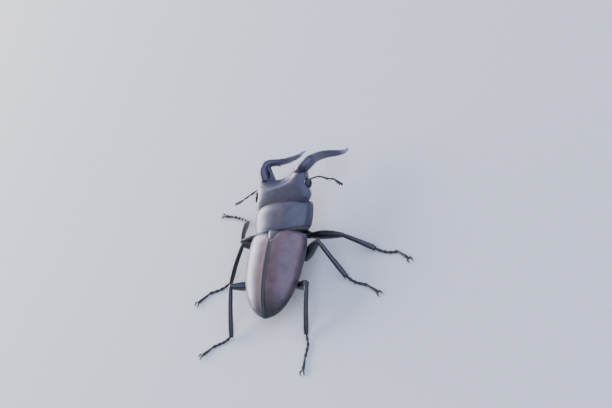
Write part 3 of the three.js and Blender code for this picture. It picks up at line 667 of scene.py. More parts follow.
def scutellum(rings=50, across=41):
    """Rings from the tip forwards, each a shallow arch with rounded edges over a flat underside."""
    u = np.linspace(-1, 1, across)
    edge = np.sqrt(np.maximum(0, 1 - np.abs(u) ** 5))
    sections = []
    for y in SCUTELLUM["tip"] + (PLATE_FRONT - SCUTELLUM["tip"]) * np.linspace(0, 1, rings) ** 1.3:
        w = max(0.06, float(scutellum_width(y)))
        y = min(y, float(rear_edge(0)) - PLATE_CLEARANCE)
        roof = case_margin(y) + case_dome(y) + SCUTELLUM["proud"] + 0.06
        fall = 0.035 * (w * u) ** 2
        top = np.stack([w * u, np.full(across, y), roof - fall - PLATE_ROUNDING * (1 - edge)], 1)
        under = [[w * 0.9, y, roof - PLATE_THICKNESS], [-w * 0.9, y, roof - PLATE_THICKNESS]]
        sections.append(np.vstack([top, under]))
    return loft(sections)


def plate_painted_shade(corners):
    """Painted shade: the plate is nearly as dark as the seam behind it, and darkest at its shoulders."""
    return np.clip(0.8 + 0.2 * smoothstep(np.abs(corners[:, 0]), 1.0, 2.2), 0, 1)


made = piece("scutellum_shield", [scutellum()], WING, ["scutellum"], marks=plate_painted_shade)
print(made.name, [round(v * 1000, 1) for v in made.dimensions], "mm")

# %% [markdown]
# ## Pronotum
# The pronotum is one stiff plate that roofs the front of the chest. It is a low dome with a fine
# raised bead all round, which catches the light as a thin line. Its edge could be a bevel, but
# the bead and the groove inside it come from the section itself, so they follow its curves.

# %% Pronotum
# Depths of the groove inside the bead, the furrow down the middle and the dent on each side.
SHIELD_RELIEF = {"groove": 0.13, "furrow": 0.04, "dent": 0.05}
SHIELD_BEAD = {"out": 0.14, "up": 0.15}


def pronotum(rings=70, across=90):
    """A section runs over the dome from bead to bead and back below, and both ends roll over."""
    rear, front = PRONOTUM["y"][0], PRONOTUM["y"][-1]
    ends = np.radians([20, 45, 70, 90])
    stations = [(0, -a) for a in ends[::-1]]
    stations += [(t, 0) for t in np.linspace(0, 1, rings)]
    stations += [(1, a) for a in ends]
    turn = np.linspace(-np.pi / 2, np.pi / 2, across)
    rim = np.radians(np.linspace(55, -125, 9))
    relief = SHIELD_RELIEF
    sections, shade = [], []
    for t, over_edge in stations:
        y = rear + (front - rear) * t
        a, m, h = shield_width(y), shield_margin(y), shield_dome(y)
        bow = PRONOTUM["rear_bow"] + (PRONOTUM["front_bow"] - PRONOTUM["rear_bow"]) * t
        x = a * np.sign(turn) * np.abs(np.sin(turn)) ** SHIELD_POWER
        z = m + h * np.maximum(0, np.cos(turn)) ** DOME_POWER
        inside_bead = bump(np.abs(x), a - 0.62, 0.22) + bump(y, rear + 0.7, 0.22) + bump(y, front - 0.6, 0.2)
        z -= relief["groove"] * inside_bead
        z -= relief["furrow"] * bump(x, 0, 0.6) * smoothstep(y, 1.5, 3.0) * (1 - smoothstep(y, 6.0, 8.0))
        z -= relief["dent"] * bump(np.abs(x), 5.8, 1.4) * bump(y, 3.6, 1.2)
        rim_x, rim_z = a - 0.02 + SHIELD_BEAD["out"] * np.cos(rim), m - 0.12 + SHIELD_BEAD["up"] * np.sin(rim)
        low = np.array([[a - 0.9, m - 0.4], [0, m - 0.3], [0.9 - a, m - 0.4]])
        x = np.concatenate([x, rim_x, low[:, 0], -rim_x[::-1]])
        z = np.concatenate([z, rim_z, low[:, 1], rim_z[::-1]])
        shrink = 1 - 0.035 * (1 - math.cos(over_edge))
        x, z = x * shrink, m - 0.2 + (z - m + 0.2) * shrink
        ys = y + bow * (1 - np.minimum(1, np.abs(x / a)) ** 2) + 0.2 * math.sin(over_edge)
        sections.append(np.stack([x, ys, z], 1))
        # The mark is painted shade along the rear edge over the gap, and darker towards the side edges.
        border = np.maximum(smoothstep(np.abs(x), a - 1.2, a - 0.3), bump(y, rear, 0.5))
        shade.append(np.clip(border, 0, 1))
    return moved(loft(sections), from_forebody), np.concatenate([*shade, [1, 1]])


shape, shade = pronotum()
made = piece("pronotum_shield", [shape], SHIELD, ["pronotum"], marks=shade)
print(made.name, len(made.data.polygons), "faces")

# %% [markdown]
# ## Plates of the belly
# Underneath, the body is closed by the prosternum, the broad metathorax and an abdomen of five
# rings that overlap like roof tiles. They are seldom seen, but the model is looked at from all
# sides, so each is a rounded trough whose tiles step down where they overlap.

# %% Belly plates
BELLY_POWER = 0.6
MIDDLE_FURROW = 0.18


def trough(ys, belly, width, roof, plates=0, step=0.16):
    """A stretch of the underside: flat on top and rounded below, with overlapping tiles."""
    low_curve = through_points(ys, belly)
    per_plate, around = 12, 49
    turn = np.linspace(0, np.pi, around)
    depth = np.maximum(0, np.sin(turn)) ** BELLY_POWER
    rings = []
    for i, t in enumerate(np.linspace(0, 1, (plates or 4) * per_plate + 1)):
        y = ys[0] + (ys[-1] - ys[0]) * t
        a, top = width(y), roof(y)
        within = (i % per_plate) / per_plate
        tile = step * (1 - within) ** 2 if plates else 0
        x, z = -a * np.cos(turn), top - (top - low_curve(y) - tile) * depth
        if not plates:
            z += MIDDLE_FURROW * bump(x, 0, 0.25) * (turn > 0)
        rings.append(np.vstack([np.stack([x, np.full(around, y), z], 1), [[0, y, top]]]))
    return loft(rings)


def trunk_width(y):
    return max(0.8, case_width(y) - 1.45)


def trunk_roof(y):
    return case_margin(y) - 0.45


def chest_width(y):
    return shield_width(y) - 1.1


def chest_roof(y):
    return shield_margin(y) - 0.5


thorax = trough([-13.9, -11, -6, -2, -0.1], [2.9, 2.6, 2.7, 3.1, 3.6], trunk_width, trunk_roof)
abdomen = trough([-26, -24, -21, -17.5, -14.05], [4.9, 4.1, 3.5, 3.1, 3.0], trunk_width, trunk_roof, plates=5)
prosternum = trough([0.3, 2.5, 5, 7.3, 8.8], [4.3, 3.7, 3.9, 4.5, 5.2], chest_width, chest_roof)
piece("metathorax_plate", [thorax], BELLY, ["metathorax"])
piece("abdomen_rings", [abdomen], BELLY, ["abdomen"])
piece("prosternum_plate", [moved(prosternum, from_forebody)], BELLY, ["prosternum"])
print("belly plates:", sum(len(shape[1]) for shape in (thorax, abdomen, prosternum)), "faces")

# %% [markdown]
# ## Head
# The head is broad and flat, with square front corners, swollen temples and a hollow between the
# jaws where the front edge bends back. A ridge, the canthus, crosses each eye like an eyebrow.
# Head and ridges are separate lofts that are melted into one skin, as one casting would be.

# %% Head
HEAD = {
    "y": [8.1, 9.1, 10.5, 12.4, 14.2, 16.6, 19.2, 21.5],
    "half_width": [7.4, 9.2, 9.7, 9.2, 8.9, 8.9, 8.6, 7.4],
    "top": [9.05, 9.85, 10.4, 10.8, 11.0, 10.85, 10.5, 10.0],
    "bottom": [5.9, 5.2, 4.9, 4.8, 4.9, 5.4, 6.1, 7.0],
}
head_width, head_top, head_bottom = size_curves(HEAD, ("half_width", "top", "bottom"))
HEAD_WAIST = 8.7
# Heights of the hollow in front, the swelling at each side of it and the bead of the front edge.
HEAD_RELIEF = {"hollow": 0.5, "swelling": 0.3, "bead": 0.12}
FRONT_BEND = 4.3
CANTHUS = [(7.8, 17.0, 9.4), (9.1, 15.2, 9.4), (9.8, 13.9, 9.35), (9.3, 12.6, 9.2)]


def head_capsule(rings=90, around=120):
    """A boxy section from neck to front edge. Forward grows to 1 where the front edge bends back."""
    rear, front = HEAD["y"][0], HEAD["y"][-1]
    stations = [(t, 0) for t in np.linspace(0, 1, rings)]
    stations += [(1, a) for a in np.radians(np.linspace(0, 88, 7)[1:])]
    turn = np.linspace(0, 2 * np.pi, around, endpoint=False)
    s = np.sin(turn)
    upper = smoothstep(s, 0, 0.4)
    sections = []
    for t, over_edge in stations:
        y = rear + (front - rear) * t
        a, top, bottom = head_width(y), head_top(y), head_bottom(y)
        forward = smoothstep(y, 12.5, front)
        x = a * np.sign(np.cos(turn)) * np.abs(np.cos(turn)) ** 0.62
        middle = 1 - (x / a) ** 2
        z = HEAD_WAIST + np.where(s > 0, top - HEAD_WAIST, bottom - HEAD_WAIST) * np.abs(s) ** 0.72
        z -= upper * HEAD_RELIEF["hollow"] * forward * middle**2
        z += upper * HEAD_RELIEF["swelling"] * smoothstep(y, 14, 19) * (1 - bump(x, 0, 4.5))
        z += upper * HEAD_RELIEF["bead"] * bump(y, front - 0.3, 0.5)
        level = HEAD_WAIST + (top + bottom - 2 * HEAD_WAIST) / 2 - 0.25 * forward * middle**2
        z = level + (z - level) * math.cos(over_edge)
        ys = y - FRONT_BEND * forward * middle + 0.35 * math.sin(over_edge)
        sections.append(np.stack([x, ys, z], 1))
    return loft(sections, laced=True)


def mirrored(points, side):
    return [(side * x, y, z) for x, y, z in points]


def head_painted_shade(corners):
    """Painted shade: a little dark on top, and darker down the sides to the underside."""
    return np.clip(0.8 * (1 - smoothstep(corners[:, 2], 8.0, 10.5)) + 0.3, 0, 1)


ridges = [limb(mirrored(CANTHUS, side), [0.3, 0.4, 0.36, 0.15], [0.3, 0.36, 0.32, 0.15]) for _, side in SIDES]
skin = moved(melted([head_capsule(), *ridges], grain=0.16, smoothing=5), from_head)
made = piece("head_capsule", [skin], SHIELD, ["head"], crease=70, marks=head_painted_shade)
print(made.name, len(made.data.polygons), "faces")

# %% [markdown]
# Each eye is a glossy black dome on the side of the head, half crossed by its ridge.

# %% Eyes
EYE_AT, EYE_RADII = (9.0, 13.6, 8.6), (1.3, 1.75, 1.4)
for name, side in SIDES:
    dome = moved(ball(np.array(EYE_AT) * (side, 1, 1), EYE_RADII, across=64, rings=40), from_head)
    piece(f"eye_dome_{name}", [dome], EYE_BLACK, [f"eye_{name}"], crease=180)
print("an eye is", 2 * EYE_RADII[1], "mm long")

# %% [markdown]
# The mouth is small for so large an animal: an upper lip under the front edge, a chin plate
# below, and jointed palps that taste the ground.

# %% Mouthparts
LIP_PATH = [(-2.1, 17.2, 7.9), (0, 17.45, 7.9), (2.1, 17.2, 7.9)]
CHIN_PATH = [(0, 12.6, 4.75), (0, 14.8, 4.7), (0, 17.0, 5.2)]
PALP_PATH = [(1.9, 16.6, 5.7), (2.4, 18.0, 5.3), (2.7, 19.6, 4.7)]
PALP_JOINTS = [0.24, 0.34, 0.22, 0.36, 0.24, 0.38, 0.26]

labrum = limb(LIP_PATH, [0.7, 0.95, 0.7], [0.4, 0.5, 0.4])
mentum = limb(CHIN_PATH, [2.6, 3.4, 3.0], [0.35, 0.45, 0.35], sides=36)
piece("upper_lip", [moved(labrum, from_head)], JAW, ["labrum"])
piece("chin_plate", [moved(mentum, from_head)], BELLY, ["mentum"])
for name, side in SIDES:
    palp = moved(limb(mirrored(PALP_PATH, side), PALP_JOINTS, PALP_JOINTS, count=48), from_head)
    piece(f"taster_{name}", [palp], FEELER, [f"palp_{name}"])
print("a palp has", len(palp[1]), "faces")

# %% [markdown]
# ## Jaws
# A male's mandibles are his antlers. Each rises from the head, bends sharply down and runs out
# to a forked tip, with a larger tooth at the bend and small saw teeth before the tip. They could
# be sculpted. Here one list gives how steeply the middle line climbs and another how far it
# swings out at each place, so both jaws come from the same lists. They differ in how wide they
# are opened, and in the ridge at the root.

# %% Line of a jaw
# Rise, sweep, swing and length were given, then adjusted by a least-squares fit to points
# along the jaws' middle lines, and rounded. Angles are in degrees.
JAW_AT = [0, 0.05, 0.23, 0.35, 0.5, 0.74, 0.92, 1]
JAW_BASE, JAW_LENGTH = (5.8, 18.6, 8.9), 21.2
JAW_SWING = {1: 62, -1: -26}
jaw_rise = through_points(JAW_AT, [20, 28, -9, -47, -51, -51, -33, 5])
jaw_sweep = through_points(JAW_AT, [24, 33, -13, -43, -26, 4, -1, -78])
jaw_broad = through_points(JAW_AT, [2.0, 2.1, 1.85, 1.55, 1.4, 1.05, 0.68, 0.24])
jaw_thin = through_points(JAW_AT, [1.6, 1.6, 1.35, 1.1, 1.0, 0.78, 0.5, 0.22])
jaw_twist = through_points(JAW_AT, [0, 0, 15, 35, 40, 40, 40, 40])


def jaw_line(side, count=40):
    point = np.array(JAW_BASE) * (side, 1, 1)
    points = [point]
    for i in range(count):
        t = (i + 0.5) / count
        up, out = math.radians(jaw_rise(t)), math.radians(jaw_sweep(t) + JAW_SWING[side])
        step = np.array([side * math.sin(out) * math.cos(up), math.cos(out) * math.cos(up), math.sin(up)])
        point = point + step * JAW_LENGTH / count
        points.append(point)
    return points


print("tip of the right jaw:", from_head([jaw_line(1)[-1]]).round(1)[0])


# %% Jaw
# A tooth is its place along the jaw, how far it stands out and its radius at the root.
TEETH = [(0.4, 1.0, 0.7), (0.7, 0.75, 0.42), (0.77, 0.7, 0.38), (0.84, 0.7, 0.36)]
FORK_AT, FORK_LENGTH, FORK_RADIUS = 0.93, 1.5, 0.42
BEND_AT, BEND_SWELLING = 0.4, 0.12


def jaw(side, count=110, around=36):
    """The jaw's rings, its teeth and its fork, as shapes to be melted, and its middle line."""
    line, along = smooth_path(jaw_line(side), count)
    across, up = ring_frames(along)
    turn = np.linspace(0, 2 * np.pi, around, endpoint=False)
    rings = []
    for i, t in enumerate(np.linspace(0, 1, count)):
        twist = math.radians(-side * jaw_twist(t))
        wide = across[i] * math.cos(twist) + up[i] * math.sin(twist)
        tall = up[i] * math.cos(twist) - across[i] * math.sin(twist)
        inner = 1 + BEND_SWELLING * bump(t, BEND_AT, 0.25) * np.maximum(0, -side * np.cos(turn)) ** 2
        flat = np.sign(np.sin(turn)) * np.abs(np.sin(turn)) ** 0.9
        ring = np.outer(jaw_thin(t) * inner * np.cos(turn), wide) + np.outer(jaw_broad(t) * flat, tall)
        rings.append(line[i] + ring)
    shapes = [loft(rings)]
    for t, length, radius in TEETH:
        i = round(t * (count - 1))
        aim = side * np.cross([0, 0, 1], along[i])
        aim = aim / np.linalg.norm(aim) + 0.25 * along[i]
        reach, curl = jaw_thin(t) + length, 0.1 * along[i]
        shapes.append(thorn(line[i], aim, reach, radius, sides=18, steps=12, curl=curl))
    i = round(FORK_AT * (count - 1))
    shapes.append(thorn(line[i], along[i], FORK_LENGTH, FORK_RADIUS, sides=18, steps=12))
    return shapes, line


# The ridge at the jaw's root, from its base: out, ahead and up before the jaw is swung.
JAW_RIDGE = {
    1: [(-0.95, -1.1, -0.9), (-1.45, 0.85, 0.1)],
    -1: [(-2.8, 0.2, -0.9), (-1.8, 1.8, 0.3)],
}


def jaw_ridge(side, line):
    """The inner edge of the jaw's root, with a hollow between it and the jaw."""
    swing = math.radians(JAW_SWING[side])
    points = []
    for x, y, z in JAW_RIDGE[side]:
        over = x * math.cos(swing) + y * math.sin(swing)
        ahead = -x * math.sin(swing) + y * math.cos(swing)
        points.append((side * (JAW_BASE[0] + over), JAW_BASE[1] + ahead, JAW_BASE[2] + z))
    points.append(line[round(0.27 * (len(line) - 1))])
    return limb(points, [0.5, 0.5, 0.5], [1.0, 1.0, 0.8])


def tip_painted_highlight(tip):
    """A painted pale highlight on the tip: the mark is 1 at the tip and gone four millimetres back."""
    return lambda corners: 1 - smoothstep(np.linalg.norm(corners - tip, axis=1), 0.5, 4.0)


for name, side in SIDES:
    shapes, line = jaw(side)
    skin = moved(melted([*shapes, jaw_ridge(side, line)], grain=0.085, smoothing=3), from_head)
    tip = from_head([line[-1]])[0]
    marks = tip_painted_highlight(tip)
    made = piece(f"jaw_{name}", [skin], JAW, [f"mandible_{name}"], crease=70, marks=marks)
    print(made.name, len(made.data.polygons), "faces")

# %% [markdown]
# ## Copies along a path
# Foot joints, feeler beads and the leaves of the club are each one shape set down again and
# again, turned to its path. A loop could place them, but in Geometry Nodes the rule is one small
# tree: a copy on every point, facing its aim, with its size. Realizing the copies makes them one
# plain mesh, which is what the export takes.

# %% A tree that places copies
def new_tree(name, inputs):
    """A node group with geometry in and out, and one input per name."""
    tree = bpy.data.node_groups.new(name, "GeometryNodeTree")
    tree.interface.new_socket("Geometry", in_out="INPUT", socket_type="NodeSocketGeometry")
    for label, kind in inputs.items():
        tree.interface.new_socket(label, in_out="INPUT", socket_type="NodeSocket" + kind)
    tree.interface.new_socket("Geometry", in_out="OUTPUT", socket_type="NodeSocketGeometry")
    return tree, add(tree, "NodeGroupInput").outputs


def finish_tree(tree, copies, material):
    solid = add(tree, "GeometryNodeRealizeInstances", {"Geometry": copies})
    finished = add(tree, "GeometryNodeSetMaterial", {"Geometry": solid.outputs[0], "Material": material})
    add(tree, "NodeGroupOutput", {"Geometry": finished.outputs[0]})


def copies_tree():
    tree, given = new_tree("copies on a path", {"Shape": "Object", "Scale": "Float", "Finish": "Material"})
    shape = add(tree, "GeometryNodeObjectInfo", {"Object": given["Shape"]})
    aim = add(tree, "GeometryNodeInputNamedAttribute", {"Name": "aim"}, data_type="FLOAT_VECTOR")
    rise = add(tree, "GeometryNodeInputNamedAttribute", {"Name": "rise"}, data_type="FLOAT_VECTOR")
    size = add(tree, "GeometryNodeInputNamedAttribute", {"Name": "size"}, data_type="FLOAT_VECTOR")
    axes = {"Primary Axis": aim.outputs["Attribute"], "Secondary Axis": rise.outputs["Attribute"]}
    facing = add(tree, "FunctionNodeAxesToRotation", axes, primary_axis="Y", secondary_axis="Z")
    scaled = {0: size.outputs["Attribute"], "Scale": given["Scale"]}
    sized = add(tree, "ShaderNodeVectorMath", scaled, operation="SCALE")
    placed = {"Points": given["Geometry"], "Instance": shape.outputs["Geometry"]}
    placed |= {"Rotation": facing.outputs["Rotation"], "Scale": sized.outputs["Vector"]}
    copies = add(tree, "GeometryNodeInstanceOnPoints", placed)
    finish_tree(tree, copies.outputs["Instances"], given["Finish"])
    return tree


def grown(name, source, tree, values):
    """The mesh that a tree makes from a source mesh. Values are its inputs, by name."""
    carrier = bpy.data.objects.new(name, source)
    bpy.context.scene.collection.objects.link(carrier)
    growth = carrier.modifiers.new(tree.name, "NODES")
    growth.node_group = tree
    for socket in tree.interface.items_tree:
        if socket.in_out == "INPUT" and socket.name in values:
            growth[socket.identifier] = values[socket.name]
    carrier.update_tag()
    graph = bpy.context.evaluated_depsgraph_get()
    mesh = bpy.data.meshes.new_from_object(carrier.evaluated_get(graph))
    mesh.name = name
    bpy.data.objects.remove(carrier)
    return mesh


COPIES = copies_tree()


def copied(name, shape, places, aims, sizes, material):
    """Upright copies of a shape, made round the origin and facing +Y, on places in the beetle's frame."""
    pattern_mesh = bpy.data.meshes.new(name + " pattern")
    pattern_mesh.from_pydata((shape[0] * MM).tolist(), [], shape[1])
    pattern_mesh.shade_smooth()
    pattern = bpy.data.objects.new(name + " pattern", pattern_mesh)
    points = bpy.data.meshes.new(name + " places")
    points.from_pydata(((np.array(places) - np.array(MIDDLE_OF_STANCE)) * MM).tolist(), [], [])
    for label, values in (("aim", aims), ("rise", [(0, 0, 1)] * len(places)), ("size", sizes)):
        layer = points.attributes.new(label, "FLOAT_VECTOR", "POINT")
        layer.data.foreach_set("vector", np.array(values, np.float32).ravel())
    mesh = grown(name, points, COPIES, {"Shape": pattern, "Scale": 1.0, "Finish": material})
    bpy.data.objects.remove(pattern)
    return mesh


print("tree:", COPIES.name, "with", len(COPIES.nodes), "nodes")

# %% [markdown]
# ## Legs
# Six legs, each of five parts: coxa in the body, thick femur, slender spined tibia, a tarsus of
# five small joints and two hooked claws. The left and right legs of a walking beetle never match,
# so each leg is a row of joints in space, and one set of functions makes its parts.

# %% Where the legs stand
# Bow raises the middle of a thigh, or lowers it where it is negative. Toes lie on the floor.
ANKLE_HEIGHT = 1.05
LEG = {
    "fore_right": {
        "coxa": (3.2, 2.6, 4.4), "hip": (7.1, 1.7, 3.7), "knee": (19, 1.4, 4.6),
        "ankle": (29, -1.2, ANKLE_HEIGHT), "toes": [(31.9, -2.0), (34.7, -2.3), (38.7, -2.0), (41.0, -4.0)],
    },
    "mid_right": {
        "coxa": (4.0, -4.6, 3.4), "hip": (7.3, -5.8, 3.2), "knee": (13.6, -2.4, 8.3),
        "ankle": (21.6, -10.4, ANKLE_HEIGHT),
        "toes": [(24.9, -12.1), (28.6, -12.8), (31.4, -13.5), (33.6, -15.0)],
    },
    "hind_right": {
        "coxa": (4.0, -13.0, 3.4), "hip": (6.9, -14.9, 3.0), "knee": (13.6, -16.2, 8.2), "bow": -0.7,
        "ankle": (13.0, -29.2, ANKLE_HEIGHT), "toes": [(14.3, -32.4), (14.5, -36.2), (15.0, -40.6)],
    },
    "fore_left": {
        "coxa": (-3.2, 2.2, 4.3), "hip": (-6.9, 1.2, 3.7), "knee": (-16.7, -1.7, 6.1),
        "ankle": (-21.1, 7.8, ANKLE_HEIGHT), "toes": [(-24.2, 9.3), (-28.6, 10.3), (-31.4, 10.5)],
    },
    "mid_left": {
        "coxa": (-4.0, -4.2, 3.4), "hip": (-7.2, -3.4, 3.4), "knee": (-15.1, -3.1, 7.2),
        "ankle": (-20.5, -13.4, ANKLE_HEIGHT),
        "toes": [(-23.8, -15.3), (-27.4, -16.7), (-30.3, -17.9), (-31.3, -20.0)],
    },
    "hind_left": {
        "coxa": (-4.0, -13.0, 3.4), "hip": (-7.0, -14.4, 3.2), "knee": (-14.0, -18.0, 8.2), "bow": -0.7,
        "ankle": (-14.1, -31.3, ANKLE_HEIGHT), "toes": [(-16.5, -32.9), (-20.6, -35.0), (-23.4, -37.6)],
    },
}


def halfway(a, b, t, lift=0.0):
    """The point a share t of the way from a to b, lifted by a little."""
    return np.array(a, float) + (np.array(b, float) - a) * t + np.array((0, 0, lift))


print("legs:", ", ".join(LEG))


# %% Thighs and shins
# Half the breadth and half the height of each part, from its root to its end.
COXA = ([0.95, 1.3, 1.3, 1.0], [0.95, 1.25, 1.25, 1.0])
FEMUR = ([0.85, 1.15, 1.3, 1.25, 1.05, 0.75], [0.9, 1.3, 1.5, 1.4, 1.15, 0.78])
TIBIA = ([0.58, 0.72, 0.74, 0.78, 0.84, 0.76], [0.6, 0.76, 0.78, 0.82, 0.86, 0.66])
THIGH_BOW, SHIN_BOW = 0.4, 0.35
# A thorn of the shin is its place between knee and ankle, and its size.
FORE_THORNS = [(0.45, 0.8), (0.6, 0.9), (0.75, 1.0), (0.88, 1.2)]
FORE_THORNS += [(0.3, 0.4), (0.52, 0.45), (0.68, 0.5), (0.82, 0.5)]
OTHER_THORNS = [(0.58, 1.0), (0.35, 0.35), (0.78, 0.4)]
THORN_LENGTH, THORN_RADIUS = 1.25, 0.28
SPUR = {"at": 0.96, "aside": 0.8, "length": 1.6, "radius": 0.26, "droop": (0, 0, -0.08)}


def coxa(leg):
    return limb([leg["coxa"], leg["hip"]], *COXA, sides=28)


def femur(leg):
    """The thigh is a little flattened and thickest near its middle."""
    path = [leg["hip"], halfway(leg["hip"], leg["knee"], 0.5, leg.get("bow", THIGH_BOW)), leg["knee"]]
    return limb(path, *FEMUR, sides=28, count=60, squareness=0.85)


def shin_line(leg):
    """Knee, ankle, the direction between them and the level direction across it."""
    knee, ankle = np.array(leg["knee"], float), np.array(leg["ankle"], float)
    along = (ankle - knee) / np.linalg.norm(ankle - knee)
    return knee, ankle, along, np.cross([0, 0, 1], along)


def shin(leg):
    """Shin, the row of thorns on its outer edge, and two spurs at the ankle."""
    knee, ankle, along, away = shin_line(leg)
    path = [knee, halfway(knee, ankle, 0.5, SHIN_BOW), ankle]
    shapes = [limb(path, *TIBIA, sides=24, count=70, floor=0.05, squareness=0.9)]
    away /= np.linalg.norm(away)
    if away[0] * np.sign(knee[0]) < 0 and abs(away[0]) > 0.3:
        away = -away
    fore = leg in (LEG["fore_right"], LEG["fore_left"])
    for t, size in FORE_THORNS if fore else OTHER_THORNS:
        root, length, radius = halfway(knee, ankle, t, 0.3), THORN_LENGTH * size, THORN_RADIUS * size
        shapes.append(thorn(root, 2 * away + along, length, radius, curl=0.25 * along))
    for aside in (SPUR["aside"], -SPUR["aside"]):
        root, aim = halfway(knee, ankle, SPUR["at"]), aside * away + along
        shapes.append(thorn(root, aim, SPUR["length"], SPUR["radius"], curl=SPUR["droop"]))
    return shapes


for name, leg in LEG.items():
    piece(f"hip_{name}", [coxa(leg)], LEG_BLACK, [f"coxa_{name}"])
    piece(f"thigh_{name}", [femur(leg)], LEG_BLACK, [f"femur_{name}"])
    skin = melted(shin(leg), grain=0.08, smoothing=2)
    made = piece(f"shin_{name}", [skin], LEG_BLACK, [f"tibia_{name}"], crease=75)
print("a shin has", len(made.data.polygons), "faces")

# %% [markdown]
# Each foot is five joints, like beads that widen forwards, with the last one long. Copies of one
# joint are set along the foot's path, flat on the floor. The claws are two smooth hooks.

# %% Feet and claws
# How high the foot's middle line runs, the joints' shares of its length, and how far they overlap.
FOOT_HEIGHT = 0.42
FOOT_SHARES = [0.17, 0.15, 0.15, 0.15, 0.38]
FOOT_OVERLAP = 1.12
# A claw leaves its root at this angle, rises to its top and comes down to its tip.
CLAW_SPREAD = math.radians(36)
CLAW_ROOT, CLAW_RISE, CLAW_REACH = 0.1, 1.05, 0.95
CLAW_TOP, CLAW_TIP = 0.72, 0.1
CLAW_SIZES = [0.28, 0.26, 0.2, 0.07]


def foot_joint(sides=18):
    """One joint round the origin, a millimetre long, that widens forwards and is flat below."""
    turn = np.linspace(0, 2 * np.pi, sides, endpoint=False) + np.pi / sides
    rings = []
    for t in np.linspace(0, 1, 12):
        width = 0.3 + 0.2 * smoothstep(t, 0.0, 0.85) - 0.16 * smoothstep(t, 0.86, 1.0)
        height = np.maximum(width * 1.05 * np.sin(turn), -FOOT_HEIGHT + 0.02)
        rings.append(np.stack([width * np.cos(turn), np.full(sides, t - 0.5), height], 1))
    return loft(rings)


def foot_path(leg):
    toes = [np.array((x, y, FOOT_HEIGHT)) for x, y in leg["toes"]]
    return smooth_path([halfway(leg["ankle"], toes[0], 0.08), *toes], 101)


def foot(name, leg):
    """Five joints along the foot's path, root first, each with its share of the length."""
    line, _ = foot_path(leg)
    length = np.linalg.norm(np.diff(line, axis=0), axis=1).sum()
    starts = np.concatenate([[0], np.cumsum(FOOT_SHARES)])
    places, aims, sizes = [], [], []
    for a, b in zip(starts, starts[1:]):
        first, last = line[round(a * 100)], line[round(b * 100)]
        places.append((first + last) / 2)
        aims.append(last - first)
        sizes.append((1.0 if b < 1 else 0.92, length * (b - a) * FOOT_OVERLAP, 1.0))
    return copied(name, foot_joint(), places, aims, sizes, LEG_BLACK)


def claws(leg):
    """Two hooks that part from one root, arch up and come down to the floor."""
    last, before = np.array((*leg["toes"][-1], FOOT_HEIGHT)), np.array((*leg["toes"][-2], FOOT_HEIGHT))
    ahead = (last - before) / np.linalg.norm(last - before)
    aside = np.cross([0, 0, 1], ahead)
    hooks = []
    for side in (1, -1):
        apart = ahead * math.cos(CLAW_SPREAD) + aside * side * math.sin(CLAW_SPREAD)
        root = last - ahead * CLAW_ROOT
        bend = root + apart * CLAW_RISE
        bend[2] = CLAW_TOP
        end = bend + ahead * CLAW_REACH
        end[2] = CLAW_TIP
        hooks.append(limb([root, bend, end], CLAW_SIZES, CLAW_SIZES, sides=14, floor=0))
    return hooks


for name, leg in LEG.items():
    dress(foot(f"foot_{name}", leg), f"foot_{name}", LEG_BLACK, [f"tarsus_{name}"])
    piece(f"hooks_{name}", claws(leg), LEG_BLACK, [f"claws_{name}"])
print("feet:", len(LEG), "of 5 joints and 2 claws")

# %% [markdown]
# ## Feelers
# A stag beetle's feeler is bent like an elbow: a long first joint, a row of beads, then a club
# of leaves that all stand to one side. The beads and leaves are copies too, set along the path
# and growing towards the tip.

# %% Feelers
FEELER_PATH = {
    "right": [
        (6.0, 17.4, 10.8), (9.9, 17.8, 11.5), (13.0, 17.1, 11.2), (15.1, 17.3, 10.6), (18, 16.1, 9.4),
    ],
    "left": [
        (-10.9, 15.4, 10.5), (-12.6, 14.6, 10.3), (-15.3, 13.2, 9.8), (-18.2, 11.7, 9.2), (-22, 10.7, 8.4),
    ],
}
STEM_SIZES = [0.22, 0.24, 0.25, 0.38]
BEADS = 6
BEAD_RADIUS, BEAD_GROWTH = 0.27, 0.012
# Where the club's leaves stand between wrist and tip, and how broad, long and thick they are.
LEAF_AT = [0.12, 0.36, 0.6, 0.84]
LEAF_SIZES = [(0.8, 1.0, 0.9), (1.1, 1.2, 1.05), (1.15, 1.25, 1.1), (0.95, 1.2, 1.0)]


def bead(sides=14):
    """A ball of radius 1, made from rings along Y."""
    turn = np.linspace(0, 2 * np.pi, sides, endpoint=False)
    rings = []
    for a in np.linspace(0, np.pi, 9)[1:-1]:
        size, place = math.sin(a), np.full(sides, -math.cos(a))
        rings.append(np.stack([size * np.cos(turn), place, size * np.sin(turn)], 1))
    return loft(rings)


def leaf():
    """A club leaf: a rounded plate that leans out to one side, thick at its root."""
    path = [(0, -0.3, 0), (0.25, 0.0, 0), (0.7, 0.3, 0)]
    return limb(path, [0.2, 0.34, 0.3, 0.16], [0.16, 0.26, 0.3, 0.2], sides=14, count=14)


